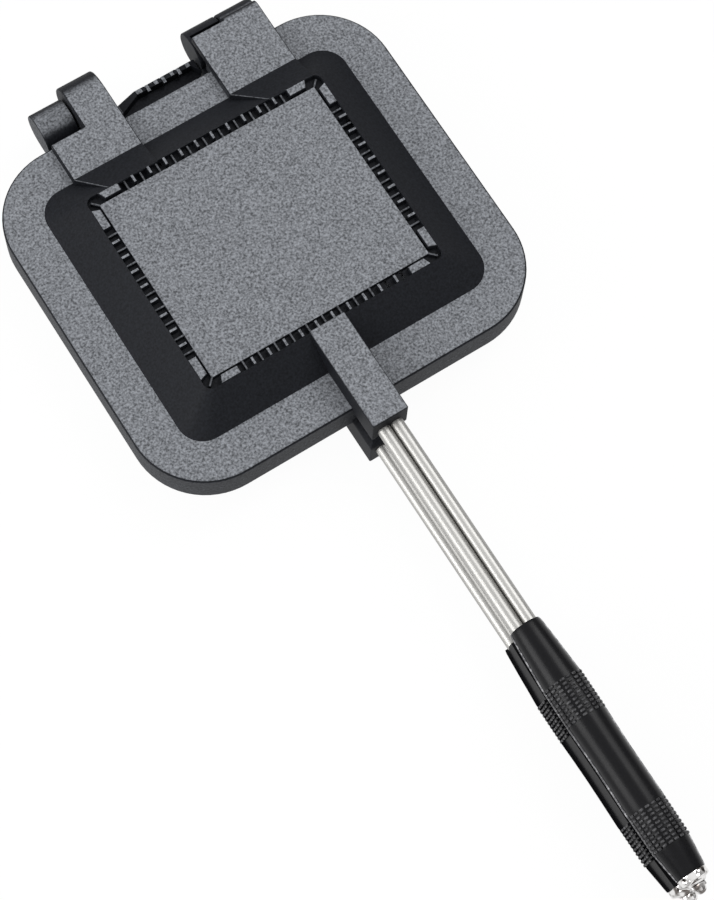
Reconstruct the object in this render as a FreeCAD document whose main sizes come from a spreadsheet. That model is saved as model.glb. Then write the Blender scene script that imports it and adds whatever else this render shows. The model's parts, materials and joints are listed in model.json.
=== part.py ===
import FreeCAD, Part
import math
import os
import re

import Sketcher

# A pie iron: two cast pans that close face to face on a hinge at the back, each with a pair of
# steel rods, a moulded grip, a chromed end cap and a domed nut at the front.
# All sizes are in millimetres. X runs along the hinge, Y from the handles to the hinge, Z up.
# The pan lies closed on its lower half. The origin is on the surface that it lies on, under the
# middle of its whole length.
# Each half is drawn in a frame of its own: its open face is at z = 0, its outside is at +z, and
# the middle of its rim is over x = y = 0.

SIZES = (
    # rim of each half
    ("plate_width", 150.0),
    ("plate_length", 135.0),
    ("corner_radius", 27.0),
    ("rim_thickness", 7.0),
    ("rim_edge_radius", 0.93),
    ("parting_gap", 0.1),
    # raised box, from its foot on the rim to the toothed frame at its top
    ("plate_height", 17.3),
    ("foot_width", 119.4),
    ("foot_length", 104.6),
    ("foot_radius", 9.5),
    ("frame_width", 92.0),
    ("frame_length", 79.8),
    ("frame_radius", 2.6),
    # hollow for the sandwich, from its mouth at the open face to its ceiling
    ("mouth_width", 112.0),
    ("mouth_length", 97.0),
    ("mouth_radius", 12.0),
    ("ceiling_width", 90.0),
    ("ceiling_length", 77.0),
    ("ceiling_radius", 8.0),
    ("hollow_depth", 12.4),
    # toothed frame round the plateau
    ("plateau_drop", 1.0),
    ("tooth_pitch", 6.2),
    ("tooth_width", 1.1),
    ("tooth_length", 3.2),
    ("rib_width", 1.0),
    ("groove_width", 0.7),
    ("pocket_depth", 2.6),
    ("pocket_lip", 0.3),
    ("mitre_gap", 1.1),
    ("end_pocket_width", 1.8),
    ("wide_side_teeth", 10),
    ("short_side_teeth", 8),
    # handle lug
    ("lug_width", 13.8),
    ("lug_reach", 79.4),
    ("lug_underside", 2.65),
    ("lug_lower_radius", 3.0),
    ("lug_upper_radius", 0.9),
    # hinge, measured back from the middle of the plate and out to each side
    ("hinge_offset", 77.3),
    ("pin_radius", 2.5),
    ("pin_inset", 0.8),
    ("pin_reach", 10.0),
    ("pin_end_gap", 1.0),
    ("press_gap", 0.02),
    ("running_gap", 0.06),
    ("knuckle_radius", 7.5),
    ("knuckle_gap", 0.55),
    ("knuckle_clearance", 0.5),
    ("left_reach", 44.4),
    ("lower_left_knuckle", 12.8),
    ("upper_left_knuckle", 13.6),
    ("right_start", 17.2),
    ("lower_right_knuckle", 13.1),
    ("upper_right_knuckle", 12.8),
    # arms over the rim of the upper half
    ("arm_top", 11.05),
    ("arm_front", 51.4),
    ("arm_notch_back", 66.8),
    ("arm_foot_height", 3.5),
    ("right_arm_setback", 0.4),
    ("right_arm_width", 26.9),
    ("right_arm_back", 77.0),
    ("right_arm_end_radius", 1.5),
    ("right_knuckle_back", 79.3),
    ("right_knuckle_end_radius", 3.0),
    ("ramp_cut_at_arm", 1.4),
    ("ramp_cut_at_frame", 7.9),
    ("right_ramp_cut_at_frame", 9.4),
    ("rim_cut_back", 64.0),
    ("rim_cut_radius", 3.0),
    # toothed apron of the lower half, between the knuckles
    ("apron_front", 64.6),
    ("apron_back", 74.5),
    ("apron_left", 15.4),
    ("apron_right", 16.9),
    ("apron_left_slant", 7.5),
    ("apron_right_slant", 2.6),
    ("apron_slant_depth", 5.5),
    ("apron_drop", 0.4),
    ("apron_depth", 5.0),
    ("apron_lip", 1.6),
    ("scoop_depth", 3.8),
    ("scoop_wall", 1.8),
    ("notch_pitch", 3.1),
    ("notch_width", 1.4),
    ("notch_depth", 1.9),
    ("apron_notches", 7),
    # handle rods
    ("rod_radius", 2.4),
    ("rod_spacing", 5.1),
    ("rod_height", 9.0),
    ("rod_start", 50.0),
    ("rod_length", 199.0),
    ("rod_chamfer", 0.4),
    # grip
    ("grip_start", 160.2),
    ("grip_length", 94.0),
    ("grip_half_width", 7.2),
    ("grip_height", 9.85),
    ("grip_flat", 2.8),
    ("grip_bore_gap", 0.05),
    # yoke and threaded stud in the end of the grip
    ("yoke_width", 8.0),
    ("yoke_height", 4.0),
    ("yoke_thickness", 3.0),
    ("yoke_gap", 0.1),
    ("stud_radius", 1.5),
    ("stud_length", 9.6),
    ("stud_gap", 0.1),
    # end cap and domed nut
    ("collar_length", 2.5),
    ("taper_length", 1.5),
    ("collar_half_width", 5.2),
    ("taper_half_width", 3.0),
    ("cap_seat_gap", 0.1),
    ("nut_across_flats", 5.0),
    ("nut_length", 1.3),
    ("dome_radius", 2.2),
    ("dome_height", 1.9),
    ("dome_edge_radius", 1.7),
    ("overrun", 2.0),
)

# Outline of the grip: how far along it a section lies, and how wide it is there.
GRIP_SECTION_SHARES = (
    (0.0, 0.765),
    (0.05, 0.80),
    (0.16, 0.90),
    (0.29, 1.0),
    (0.37, 0.985),
    (0.53, 0.915),
    (0.71, 0.935),
    (0.80, 0.97),
    (0.95, 0.81),
    (1.0, 0.75),
)
GRIP_FLAT_SHARE = 0.78
HEXAGON_CORNERS = 6

NAMES = {alias for alias, amount in SIZES}

doc = FreeCAD.newDocument("pie_iron")
sheet = doc.addObject("Spreadsheet::Sheet", "dims")
for row, (alias, amount) in enumerate(SIZES, start=1):
    sheet.set(f"A{row}", alias)
    sheet.set(f"B{row}", str(amount))
    sheet.setAlias(f"B{row}", alias)
doc.recompute()

CUTS = []


# Reading and writing sizes

def cells(text):
    """The expression with each size's name pointing at its cell in the sheet."""
    def point_at_cell(word):
        name = word.group()
        return "dims." + name if name in NAMES else name
    return re.sub(r"[a-z_]+", point_at_cell, text)


def value(text):
    """The length that an expression gives now."""
    return float(sheet.evalExpression(cells(text)))


# Sketches

def sketch_on(body, name, plane, offset="0"):
    """A sketch on one of the body's own planes, moved along that plane's normal."""
    sketch = body.newObject("Sketcher::SketchObject", name)
    support = next(item for item in body.Origin.OriginFeatures if item.Role == plane)
    sketch.AttachmentSupport = (support, [""])
    sketch.MapMode = "FlatFace"
    sketch.setExpression("AttachmentOffset.Base.z", cells(offset))
    return sketch


def tie(sketch, geometry, end, x, y):
    """Holds one point of a line, arc or circle at the place that two expressions give."""
    for kind, text in (("DistanceX", x), ("DistanceY", y)):
        constraint = Sketcher.Constraint(kind, -1, 1, geometry, end, value(text))
        index = sketch.addConstraint(constraint)
        sketch.setExpression(f"Constraints[{index}]", cells(text))


def tie_radius(sketch, geometry, radius):
    """Holds the radius of an arc or circle at an expression."""
    constraint = Sketcher.Constraint("Radius", geometry, value(radius))
    index = sketch.addConstraint(constraint)
    sketch.setExpression(f"Constraints[{index}]", cells(radius))


def step_towards(corner, other):
    """The end of a corner's rounding on the side of another corner."""
    x, y, radius = corner
    along_x = value(f"({other[0]}) - ({x})")
    along_y = value(f"({other[1]}) - ({y})")
    if abs(along_x) > abs(along_y):
        sign = "+" if along_x > 0 else "-"
        return f"({x}) {sign} ({radius})", y
    sign = "+" if along_y > 0 else "-"
    return x, f"({y}) {sign} ({radius})"


def draw(sketch, corners):
    """A closed outline through corners (x, y), or (x, y, radius) where a square corner is round."""
    points = []
    for index, corner in enumerate(corners):
        if len(corner) == 2:
            points.append((corner[0], corner[1], None, None))
            continue
        first = step_towards(corner, corners[index - 1])
        last = step_towards(corner, corners[(index + 1) % len(corners)])
        points.append((first[0], first[1], corner[2], corner))
        points.append((last[0], last[1], None, None))
    places = [FreeCAD.Vector(value(point[0]), value(point[1]), 0) for point in points]
    pieces = []
    for index, point in enumerate(points):
        start = places[index]
        end = places[(index + 1) % len(points)]
        if point[2] is None:
            if start.isEqual(end, value("press_gap") / 100):
                continue
            curve = Part.LineSegment(start, end)
        else:
            corner = FreeCAD.Vector(value(point[3][0]), value(point[3][1]), 0)
            centre = start + end - corner
            bulge = (corner - centre).normalize() * value(point[2])
            curve = Part.Arc(start, centre + bulge, end)
        geometry = sketch.addGeometry(curve)
        first_end = 1 if sketch.getPoint(geometry, 1).isEqual(start, value("press_gap") / 10) else 2
        tie(sketch, geometry, first_end, point[0], point[1])
        if point[2] is not None:
            tie_radius(sketch, geometry, point[2])
        pieces.append((geometry, first_end))
    for index, (geometry, first_end) in enumerate(pieces):
        last_geometry, last_first_end = pieces[index - 1]
        joint = Sketcher.Constraint(
            "Coincident", last_geometry, 3 - last_first_end, geometry, first_end)
        sketch.addConstraint(joint)


def draw_box(sketch, left, right, low, high):
    """A rectangle between two places across and two places up."""
    draw(sketch, [(left, low), (right, low), (right, high), (left, high)])


def draw_round_box(sketch, width, length, radius):
    """A rectangle with round corners about the middle of the sketch."""
    draw(sketch, [
        (f"{side_x} * {width} / 2", f"{side_y} * {length} / 2", radius)
        for side_x, side_y in ((-1, -1), (1, -1), (1, 1), (-1, 1))
    ])


def draw_circle(sketch, x, y, radius):
    """A circle about the place that two expressions give."""
    middle = FreeCAD.Vector(value(x), value(y), 0)
    circle = Part.Circle(middle, FreeCAD.Vector(0, 0, 1), value(radius))
    geometry = sketch.addGeometry(circle)
    tie(sketch, geometry, 3, x, y)
    tie_radius(sketch, geometry, radius)


# Features

def new_body(name):
    """A body whose label names its file."""
    body = doc.addObject("PartDesign::Body", name)
    body.Label = name
    return body


def pad(body, name, sketch, length, flipped=False):
    """Material along the sketch's normal."""
    feature = body.newObject("PartDesign::Pad", name)
    feature.Profile = sketch
    feature.Reversed = flipped
    feature.setExpression("Length", cells(length))
    return feature


def pocket(body, name, sketch, depth, flipped=False):
    """A cut against the sketch's normal, or along it where it is flipped."""
    feature = body.newObject("PartDesign::Pocket", name)
    feature.Profile = sketch
    feature.Reversed = flipped
    feature.setExpression("Length", cells(depth))
    CUTS.append(feature)
    return feature


def loft(body, name, sketches, kind="PartDesign::AdditiveLoft", ruled=True):
    """Material, or a hollow, through a row of sketches."""
    feature = body.newObject(kind, name)
    feature.Profile = sketches[0]
    feature.Sections = sketches[1:]
    feature.Ruled = ruled
    return feature


def repeat(body, name, feature, sketch, axis, pitch, count):
    """Copies of a feature in a row along an axis of its sketch."""
    pattern = body.newObject("PartDesign::LinearPattern", name)
    pattern.Originals = [feature]
    pattern.Direction = (sketch, [axis])
    pattern.setExpression("Length", cells(f"{pitch} * ({count} - 1)"))
    pattern.setExpression("Occurrences", cells(count))
    body.Tip = pattern
    return pattern


def soften(body, name, base, radius, chosen, kind="PartDesign::Fillet", size="Radius"):
    """A fillet or chamfer on the edges of a feature that a test picks out."""
    doc.recompute()
    edges = [f"Edge{number}" for number, edge in enumerate(base.Shape.Edges, start=1)
             if chosen(edge.BoundBox)]
    feature = body.newObject(kind, name)
    feature.Base = (base, edges)
    feature.setExpression(size, cells(radius))
    return feature


def lies_at(amount, text):
    """True where a number is the length that an expression gives."""
    return abs(amount - value(text)) < value("press_gap") / 2


# Places that several pieces share

AXIS_HEIGHT = "-parting_gap / 2"
GRIP_END = "(grip_start + grip_length)"
ROD_END = "(rod_start + rod_length)"
CAP_END = f"({GRIP_END} + collar_length + taper_length)"
NUT_END = f"({CAP_END} + nut_length + dome_height)"
BIG_KNUCKLE = "(arm_top + parting_gap / 2)"
UPPER_LEFT_START = "(lower_left_knuckle + knuckle_gap - left_reach)"
LEFT_ARM_END = f"({UPPER_LEFT_START} + upper_left_knuckle)"
RIGHT_ARM_START = "(right_start + right_arm_setback)"
UPPER_RIGHT_START = "(right_start + lower_right_knuckle + knuckle_gap)"
HALF_FRAME = {"x": "frame_width / 2", "y": "frame_length / 2"}


# Castings

def rim(body):
    """The flat rim with its round corners and softened outer edge."""
    outline = sketch_on(body, f"{body.Name}_rim_outline", "XY_Plane")
    draw_round_box(outline, "plate_width", "plate_length", "corner_radius")
    slab = pad(body, f"{body.Name}_rim", outline, "rim_thickness")
    return soften(
        body, f"{body.Name}_rim_edge", slab, "rim_edge_radius",
        lambda box: lies_at(box.ZMin, "rim_thickness"))


def cut_back_rim(body):
    """The upper rim is shorter between the hinge arms, and its edge there is rounded."""
    outline = sketch_on(body, "rim_cut_outline", "XY_Plane", "rim_thickness + overrun")
    draw_box(
        outline, LEFT_ARM_END, RIGHT_ARM_START, "rim_cut_back", "plate_length / 2 + overrun")
    cut = pocket(body, "rim_cut", outline, "rim_thickness + 2 * overrun")
    soften(
        body, "rim_cut_edge", cut, "rim_cut_radius",
        lambda box: lies_at(box.ZMin, "rim_thickness") and lies_at(box.YMin, "rim_cut_back")
        and lies_at(box.YMax, "rim_cut_back"))


def raised_box(body):
    """The box that rises from the rim with sloped sides."""
    foot = sketch_on(body, f"{body.Name}_foot", "XY_Plane", "rim_thickness")
    draw_round_box(foot, "foot_width", "foot_length", "foot_radius")
    top = sketch_on(body, f"{body.Name}_frame_outline", "XY_Plane", "plate_height")
    draw_round_box(top, "frame_width", "frame_length", "frame_radius")
    loft(body, f"{body.Name}_box", [foot, top])


def handle_lug(body):
    """The block at the front that the handle rods are fixed in."""
    section = sketch_on(body, f"{body.Name}_lug_section", "XZ_Plane", "frame_length / 2")
    draw(section, [
        ("-lug_width / 2", "lug_underside", "lug_lower_radius"),
        ("lug_width / 2", "lug_underside", "lug_lower_radius"),
        ("lug_width / 2", "plate_height", "lug_upper_radius"),
        ("-lug_width / 2", "plate_height", "lug_upper_radius"),
    ])
    pad(body, f"{body.Name}_lug", section, "lug_reach - frame_length / 2")


def rod_holes(body):
    """The two blind holes for the rods in the face of the lug."""
    face = sketch_on(body, f"{body.Name}_rod_hole_circles", "XZ_Plane", "lug_reach")
    for side in (-1, 1):
        draw_circle(face, f"{side} * rod_spacing / 2", "rod_height", "rod_radius + press_gap")
    pocket(body, f"{body.Name}_rod_holes", face, "lug_reach - rod_start")


def hollow(body):
    """The sandwich's half of the space inside."""
    mouth = sketch_on(body, f"{body.Name}_mouth", "XY_Plane")
    draw_round_box(mouth, "mouth_width", "mouth_length", "mouth_radius")
    ceiling = sketch_on(body, f"{body.Name}_ceiling", "XY_Plane", "hollow_depth")
    draw_round_box(ceiling, "ceiling_width", "ceiling_length", "ceiling_radius")
    CUTS.append(loft(
        body, f"{body.Name}_hollow", [mouth, ceiling], kind="PartDesign::SubtractiveLoft"))


def plateau(body):
    """The plateau inside the frame, a little lower than the teeth."""
    outline = sketch_on(body, f"{body.Name}_plateau_outline", "XY_Plane", "plate_height")
    inset = "- tooth_length - groove_width"
    for_x = f"({HALF_FRAME['x']} {inset})"
    for_y = f"({HALF_FRAME['y']} {inset})"
    draw_box(outline, f"-{for_x}", for_x, f"-{for_y}", for_y)
    pocket(body, f"{body.Name}_plateau", outline, "plateau_drop")


def tooth_row(body, name, along, teeth):
    """Both long or both short sides of the frame: free teeth with ribs half way between them."""
    across = "y" if along == "x" else "x"
    axis = "H_Axis" if along == "x" else "V_Axis"
    outer = f"({HALF_FRAME[across]} + pocket_lip)"
    tooth_inner = f"({HALF_FRAME[across]} - tooth_length)"
    inner = f"({HALF_FRAME[across]} - tooth_length - groove_width)"
    first_rib = f"(-tooth_pitch * {teeth} / 2)"
    first_tooth = f"({first_rib} + tooth_pitch / 2)"

    def placed(run, depth):
        return (run, depth) if along == "x" else (depth, run)

    pockets = sketch_on(body, f"{body.Name}_{name}_pocket_outline", "XY_Plane", "plate_height")
    ribs = sketch_on(body, f"{body.Name}_{name}_rib_outline", "XY_Plane", "plate_height")
    for side in (-1, 1):
        start = f"({first_rib} + rib_width / 2)"
        end = f"({first_rib} + tooth_pitch - rib_width / 2)"
        tooth_start = f"({first_tooth} - tooth_width / 2)"
        tooth_end = f"({first_tooth} + tooth_width / 2)"
        draw(pockets, [
            placed(start, f"{side} * {outer}"),
            placed(start, f"{side} * {inner}"),
            placed(end, f"{side} * {inner}"),
            placed(end, f"{side} * {outer}"),
            placed(tooth_end, f"{side} * {outer}"),
            placed(tooth_end, f"{side} * {tooth_inner}"),
            placed(tooth_start, f"{side} * {tooth_inner}"),
            placed(tooth_start, f"{side} * {outer}"),
        ])
        rib_start = f"({first_rib} - rib_width / 2)"
        rib_end = f"({first_rib} + rib_width / 2)"
        draw(ribs, [
            placed(rib_start, f"{side} * {outer}"),
            placed(rib_start, f"{side} * {inner}"),
            placed(rib_end, f"{side} * {inner}"),
            placed(rib_end, f"{side} * {outer}"),
        ])
    first = pocket(body, f"{body.Name}_{name}_pocket", pockets, "pocket_depth")
    repeat(body, f"{body.Name}_{name}_pockets", first, pockets, axis, "tooth_pitch", teeth)
    lowered = pocket(body, f"{body.Name}_{name}_rib", ribs, "plateau_drop")
    repeat(body, f"{body.Name}_{name}_ribs", lowered, ribs, axis, "tooth_pitch", f"({teeth} + 1)")


def frame_corners(body):
    """The grooves behind the corner bars and the mitred gap between each pair of bars."""
    sketch = sketch_on(body, f"{body.Name}_corner_outline", "XY_Plane", "plate_height")
    out_x = f"({HALF_FRAME['x']} + pocket_lip)"
    out_y = f"({HALF_FRAME['y']} + pocket_lip)"
    bar_x = f"({HALF_FRAME['x']} - tooth_length)"
    bar_y = f"({HALF_FRAME['y']} - tooth_length)"
    in_x = f"({HALF_FRAME['x']} - tooth_length - groove_width)"
    in_y = f"({HALF_FRAME['y']} - tooth_length - groove_width)"
    rib_x = "(tooth_pitch * wide_side_teeth / 2 + rib_width / 2)"
    rib_y = "(tooth_pitch * short_side_teeth / 2 + rib_width / 2)"
    start_x = f"({rib_x} + end_pocket_width)"
    start_y = f"({rib_y} + end_pocket_width)"
    for side_x, side_y in ((1, 1), (-1, 1), (-1, -1), (1, -1)):
        draw(sketch, [
            (f"{side_x} * {x}", f"{side_y} * {y}") for x, y in (
                (rib_x, out_y),
                (rib_x, in_y),
                (in_x, in_y),
                (in_x, rib_y),
                (out_x, rib_y),
                (out_x, start_y),
                (bar_x, start_y),
                (bar_x, f"({bar_y} - mitre_gap)"),
                (out_x, f"({out_y} - mitre_gap)"),
                (out_x, out_y),
                (f"({out_x} - mitre_gap)", out_y),
                (f"({bar_x} - mitre_gap)", bar_y),
                (start_x, bar_y),
                (start_x, out_y),
            )
        ])
    pocket(body, f"{body.Name}_corners", sketch, "pocket_depth")


def block(body, name, left, right, front, back, low, high):
    """A square block between two places along each axis."""
    sketch = sketch_on(body, f"{name}_outline", "XY_Plane", low)
    draw_box(sketch, left, right, front, back)
    return pad(body, name, sketch, f"({high}) - ({low})")


def side_pad(body, name, start, end, corners):
    """A block with a side view drawn across the hinge, between two places along it."""
    sketch = sketch_on(body, f"{name}_outline", "YZ_Plane", start)
    draw(sketch, corners)
    return pad(body, name, sketch, f"({end}) - ({start})")


def barrel(body, name, start, end, radius):
    """The round part of a knuckle, about the hinge's axis."""
    sketch = sketch_on(body, f"{name}_circle", "YZ_Plane", start)
    draw_circle(sketch, "hinge_offset", AXIS_HEIGHT, radius)
    return pad(body, name, sketch, f"({end}) - ({start})")


def hinge_bore(body, name, start, depth, radius):
    """A hole for a pin from one place along the hinge towards +x."""
    sketch = sketch_on(body, f"{name}_circle", "YZ_Plane", start)
    draw_circle(sketch, "hinge_offset", AXIS_HEIGHT, radius)
    return pocket(body, name, sketch, depth, flipped=True)


def ramp(body, name, left_at_arm, left_at_frame, right):
    """The sloped rib from an arm up to the frame."""
    low = sketch_on(body, f"{name}_at_arm", "XZ_Plane", "-arm_front")
    draw_box(low, left_at_arm, right, "arm_foot_height", "arm_top")
    high = sketch_on(body, f"{name}_at_frame", "XZ_Plane", f"-{HALF_FRAME['y']}")
    draw_box(high, left_at_frame, right, "arm_foot_height", "plate_height")
    loft(body, name, [low, high])


def upper_arms(body):
    """The two arms over the upper rim, with their knuckles."""
    block(body, "left_arm", "-left_reach", LEFT_ARM_END, "arm_front", "arm_notch_back",
          "arm_foot_height", "arm_top")
    ramp(body, "left_ramp", "ramp_cut_at_arm - left_reach", "ramp_cut_at_frame - left_reach",
         LEFT_ARM_END)
    block(body, "left_tongue", UPPER_LEFT_START, LEFT_ARM_END, "arm_front", "hinge_offset",
          "0", "arm_top")
    barrel(body, "left_knuckle", UPPER_LEFT_START, LEFT_ARM_END, BIG_KNUCKLE)

    right_end = f"({RIGHT_ARM_START} + right_arm_width)"
    cover_bottom = f"(knuckle_radius + knuckle_clearance {AXIS_HEIGHT})"
    block(body, "right_arm", RIGHT_ARM_START, right_end, "arm_front", "plate_length / 2",
          "arm_foot_height", "arm_top")
    ramp(body, "right_ramp", f"{RIGHT_ARM_START} + ramp_cut_at_arm",
         f"{RIGHT_ARM_START} + right_ramp_cut_at_frame", right_end)
    side_pad(body, "right_cover", RIGHT_ARM_START, right_end, [
        ("arm_front", cover_bottom),
        ("right_arm_back", cover_bottom),
        ("right_arm_back", "arm_top", "right_arm_end_radius"),
        ("arm_front", "arm_top"),
    ])
    right_knuckle_end = f"({UPPER_RIGHT_START} + upper_right_knuckle)"
    side_pad(body, "right_tongue", UPPER_RIGHT_START, right_knuckle_end, [
        ("arm_front", "0"),
        ("right_knuckle_back", "0"),
        ("right_knuckle_back", "arm_top", "right_knuckle_end_radius"),
        ("arm_front", "arm_top"),
    ])
    barrel(body, "right_knuckle", UPPER_RIGHT_START, right_knuckle_end, "knuckle_radius")


def upper_bores(body):
    """The blind holes that turn on the pins."""
    radius = "pin_radius + running_gap"
    hinge_bore(body, "left_bore", UPPER_LEFT_START, "pin_reach + pin_end_gap", radius)
    hinge_bore(body, "right_bore", UPPER_RIGHT_START, "pin_reach + pin_end_gap", radius)


def lower_knuckles(body):
    """The two knuckles that hold the pins. This half is turned over, so its x runs the other way."""
    for name, start, end in (
            ("lower_left", "left_reach - lower_left_knuckle", "left_reach"),
            ("lower_right", "-right_start - lower_right_knuckle", "-right_start")):
        block(body, f"{name}_neck", start, end, "arm_front", "hinge_offset", "0",
              f"knuckle_radius {AXIS_HEIGHT}")
        barrel(body, f"{name}_knuckle", start, end, "knuckle_radius")


def lower_bores(body):
    """The holes that the pins are pressed in."""
    for name, start, length in (
            ("lower_left", "left_reach - lower_left_knuckle", "lower_left_knuckle"),
            ("lower_right", "-right_start - lower_right_knuckle", "lower_right_knuckle")):
        hinge_bore(body, f"{name}_bore", start, length, "pin_radius + press_gap")


def knuckle_relief(body):
    """The round cut in the lower rim that the big upper knuckle turns in."""
    sketch = sketch_on(body, "relief_circle", "YZ_Plane", f"-{LEFT_ARM_END} - knuckle_gap")
    draw_circle(sketch, "hinge_offset", AXIS_HEIGHT, f"{BIG_KNUCKLE} + knuckle_clearance")
    pocket(body, "relief", sketch, "upper_left_knuckle + 2 * knuckle_gap", flipped=True)


def apron(body):
    """The toothed lip between the lower knuckles, scooped out in front of its teeth."""
    sketch = sketch_on(body, "apron_outline", "XY_Plane", "apron_drop")
    draw(sketch, [
        ("apron_left", "apron_front"),
        ("apron_left", "apron_back - apron_slant_depth"),
        ("apron_left - apron_left_slant", "apron_back"),
        ("apron_right_slant - apron_right", "apron_back"),
        ("-apron_right", "apron_back - apron_slant_depth"),
        ("-apron_right", "apron_front"),
    ])
    pad(body, "apron", sketch, "apron_depth")
    trough = sketch_on(body, "scoop_outline", "XY_Plane")
    lip = "(apron_back - apron_lip)"
    draw(trough, [
        ("apron_left - scoop_wall", "apron_front - overrun"),
        ("apron_left - scoop_wall", "apron_back - apron_slant_depth"),
        ("apron_left - apron_left_slant", lip),
        ("apron_right_slant - apron_right", lip),
        ("scoop_wall - apron_right", "apron_back - apron_slant_depth"),
        ("scoop_wall - apron_right", "apron_front - overrun"),
    ])
    pocket(body, "scoop", trough, "apron_drop + scoop_depth", flipped=True)
    notch = sketch_on(body, "notch_outline", "XY_Plane")
    first = "(notch_pitch / 2 + apron_right_slant - apron_right)"
    draw_box(notch, f"{first} - notch_width / 2", f"{first} + notch_width / 2",
             f"{lip} - overrun / 2", "apron_back + overrun")
    cut = pocket(body, "notch", notch, "apron_drop + notch_depth", flipped=True)
    repeat(body, "notches", cut, notch, "H_Axis", "notch_pitch", "apron_notches")


def make_plate(name):
    """One half of the pan."""
    body = new_body(name)
    rim(body)
    if name == "upper_plate":
        cut_back_rim(body)
    raised_box(body)
    handle_lug(body)
    if name == "upper_plate":
        upper_arms(body)
        hollow(body)
        upper_bores(body)
    else:
        knuckle_relief(body)
        apron(body)
        lower_knuckles(body)
        hollow(body)
        lower_bores(body)
    rod_holes(body)
    plateau(body)
    tooth_row(body, "wide_side", "x", "wide_side_teeth")
    tooth_row(body, "short_side", "y", "short_side_teeth")
    frame_corners(body)
    return body


# Steel, chrome and moulded pieces

def make_pin(name, start, length):
    """A hinge pin with broken ends, drawn in the upper half's frame."""
    body = new_body(name)
    circle = sketch_on(body, f"{name}_circle", "YZ_Plane", start)
    draw_circle(circle, "hinge_offset", AXIS_HEIGHT, "pin_radius")
    rod = pad(body, f"{name}_rod", circle, length)
    soften(body, f"{name}_ends", rod, "rod_chamfer", is_ring_across_x,
           kind="PartDesign::Chamfer", size="Size")
    return body


def is_ring_across_x(box):
    """True for a circle in a plane across x."""
    return box.XLength < value("press_gap") < box.YLength


def is_ring_across_y(box):
    """True for a circle in a plane across y."""
    return box.YLength < value("press_gap") < box.XLength


def make_rod(name, side):
    """One handle rod with broken ends."""
    body = new_body(name)
    circle = sketch_on(body, f"{name}_circle", "XZ_Plane", "rod_start")
    draw_circle(circle, f"{side} * rod_spacing / 2", "rod_height", "rod_radius")
    rod = pad(body, f"{name}_bar", circle, "rod_length")
    soften(body, f"{name}_ends", rod, "rod_chamfer", is_ring_across_y,
           kind="PartDesign::Chamfer", size="Size")
    return body


def draw_grip_section(sketch, half_width, middle, flat):
    """Round outside, tapered sides and a flat towards the other handle."""
    draw(sketch, [
        (half_width, f"{middle} + {half_width}", half_width),
        (f"-{half_width}", f"{middle} + {half_width}", half_width),
        (f"-{half_width} * {GRIP_FLAT_SHARE}", flat),
        (f"{half_width} * {GRIP_FLAT_SHARE}", flat),
    ])


def make_grip(name):
    """The moulded grip with its waist, the holes for the rods and the recess for the yoke."""
    body = new_body(name)
    sections = []
    for number, (along_share, width_share) in enumerate(GRIP_SECTION_SHARES):
        section = sketch_on(body, f"{name}_section_{number}", "XZ_Plane",
                            f"grip_start + grip_length * {along_share}")
        draw_grip_section(section, f"(grip_half_width * {width_share})", "grip_height", "grip_flat")
        sections.append(section)
    loft(body, f"{name}_shell", sections, ruled=False)
    holes = sketch_on(body, f"{name}_hole_circles", "XZ_Plane", "grip_start - overrun")
    for side in (-1, 1):
        draw_circle(holes, f"{side} * rod_spacing / 2", "rod_height", "rod_radius + grip_bore_gap")
    pocket(body, f"{name}_holes", holes, f"{ROD_END} - grip_start + overrun", flipped=True)
    recess = sketch_on(body, f"{name}_recess_outline", "XZ_Plane", GRIP_END)
    draw_box(recess, "-yoke_width / 2 - yoke_gap", "yoke_width / 2 + yoke_gap",
             "rod_height - yoke_height / 2 - yoke_gap", "rod_height + yoke_height / 2 + yoke_gap")
    pocket(body, f"{name}_recess", recess, f"{GRIP_END} - {ROD_END}")
    return body


def make_tie_stud(name):
    """The yoke across the rod ends with the stud that the domed nut screws on."""
    body = new_body(name)
    outline = sketch_on(body, f"{name}_yoke_outline", "XZ_Plane", ROD_END)
    draw_box(outline, "-yoke_width / 2", "yoke_width / 2",
             "rod_height - yoke_height / 2", "rod_height + yoke_height / 2")
    pad(body, f"{name}_yoke", outline, "yoke_thickness")
    circle = sketch_on(body, f"{name}_circle", "XZ_Plane", ROD_END)
    draw_circle(circle, "0", "rod_height", "stud_radius")
    pad(body, f"{name}_stud", circle, "stud_length")
    return body


def make_end_cap(name):
    """A collar with the grip's outline, tapered towards the nut."""
    body = new_body(name)
    front = sketch_on(body, f"{name}_front", "XZ_Plane", f"{GRIP_END} + cap_seat_gap")
    draw_grip_section(front, "collar_half_width", "grip_height", "grip_flat")
    pad(body, f"{name}_collar", front, "collar_length - cap_seat_gap")
    wide = sketch_on(body, f"{name}_wide", "XZ_Plane", f"{GRIP_END} + collar_length")
    draw_grip_section(wide, "collar_half_width", "grip_height", "grip_flat")
    narrow = sketch_on(body, f"{name}_narrow", "XZ_Plane", CAP_END)
    draw_grip_section(narrow, "taper_half_width", "rod_height", "rod_height - taper_half_width")
    loft(body, f"{name}_taper", [wide, narrow])
    circle = sketch_on(body, f"{name}_hole_circle", "XZ_Plane", f"{CAP_END}")
    draw_circle(circle, "0", "rod_height", "stud_radius + stud_gap")
    pocket(body, f"{name}_hole", circle, "collar_length + taper_length")
    return body


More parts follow.
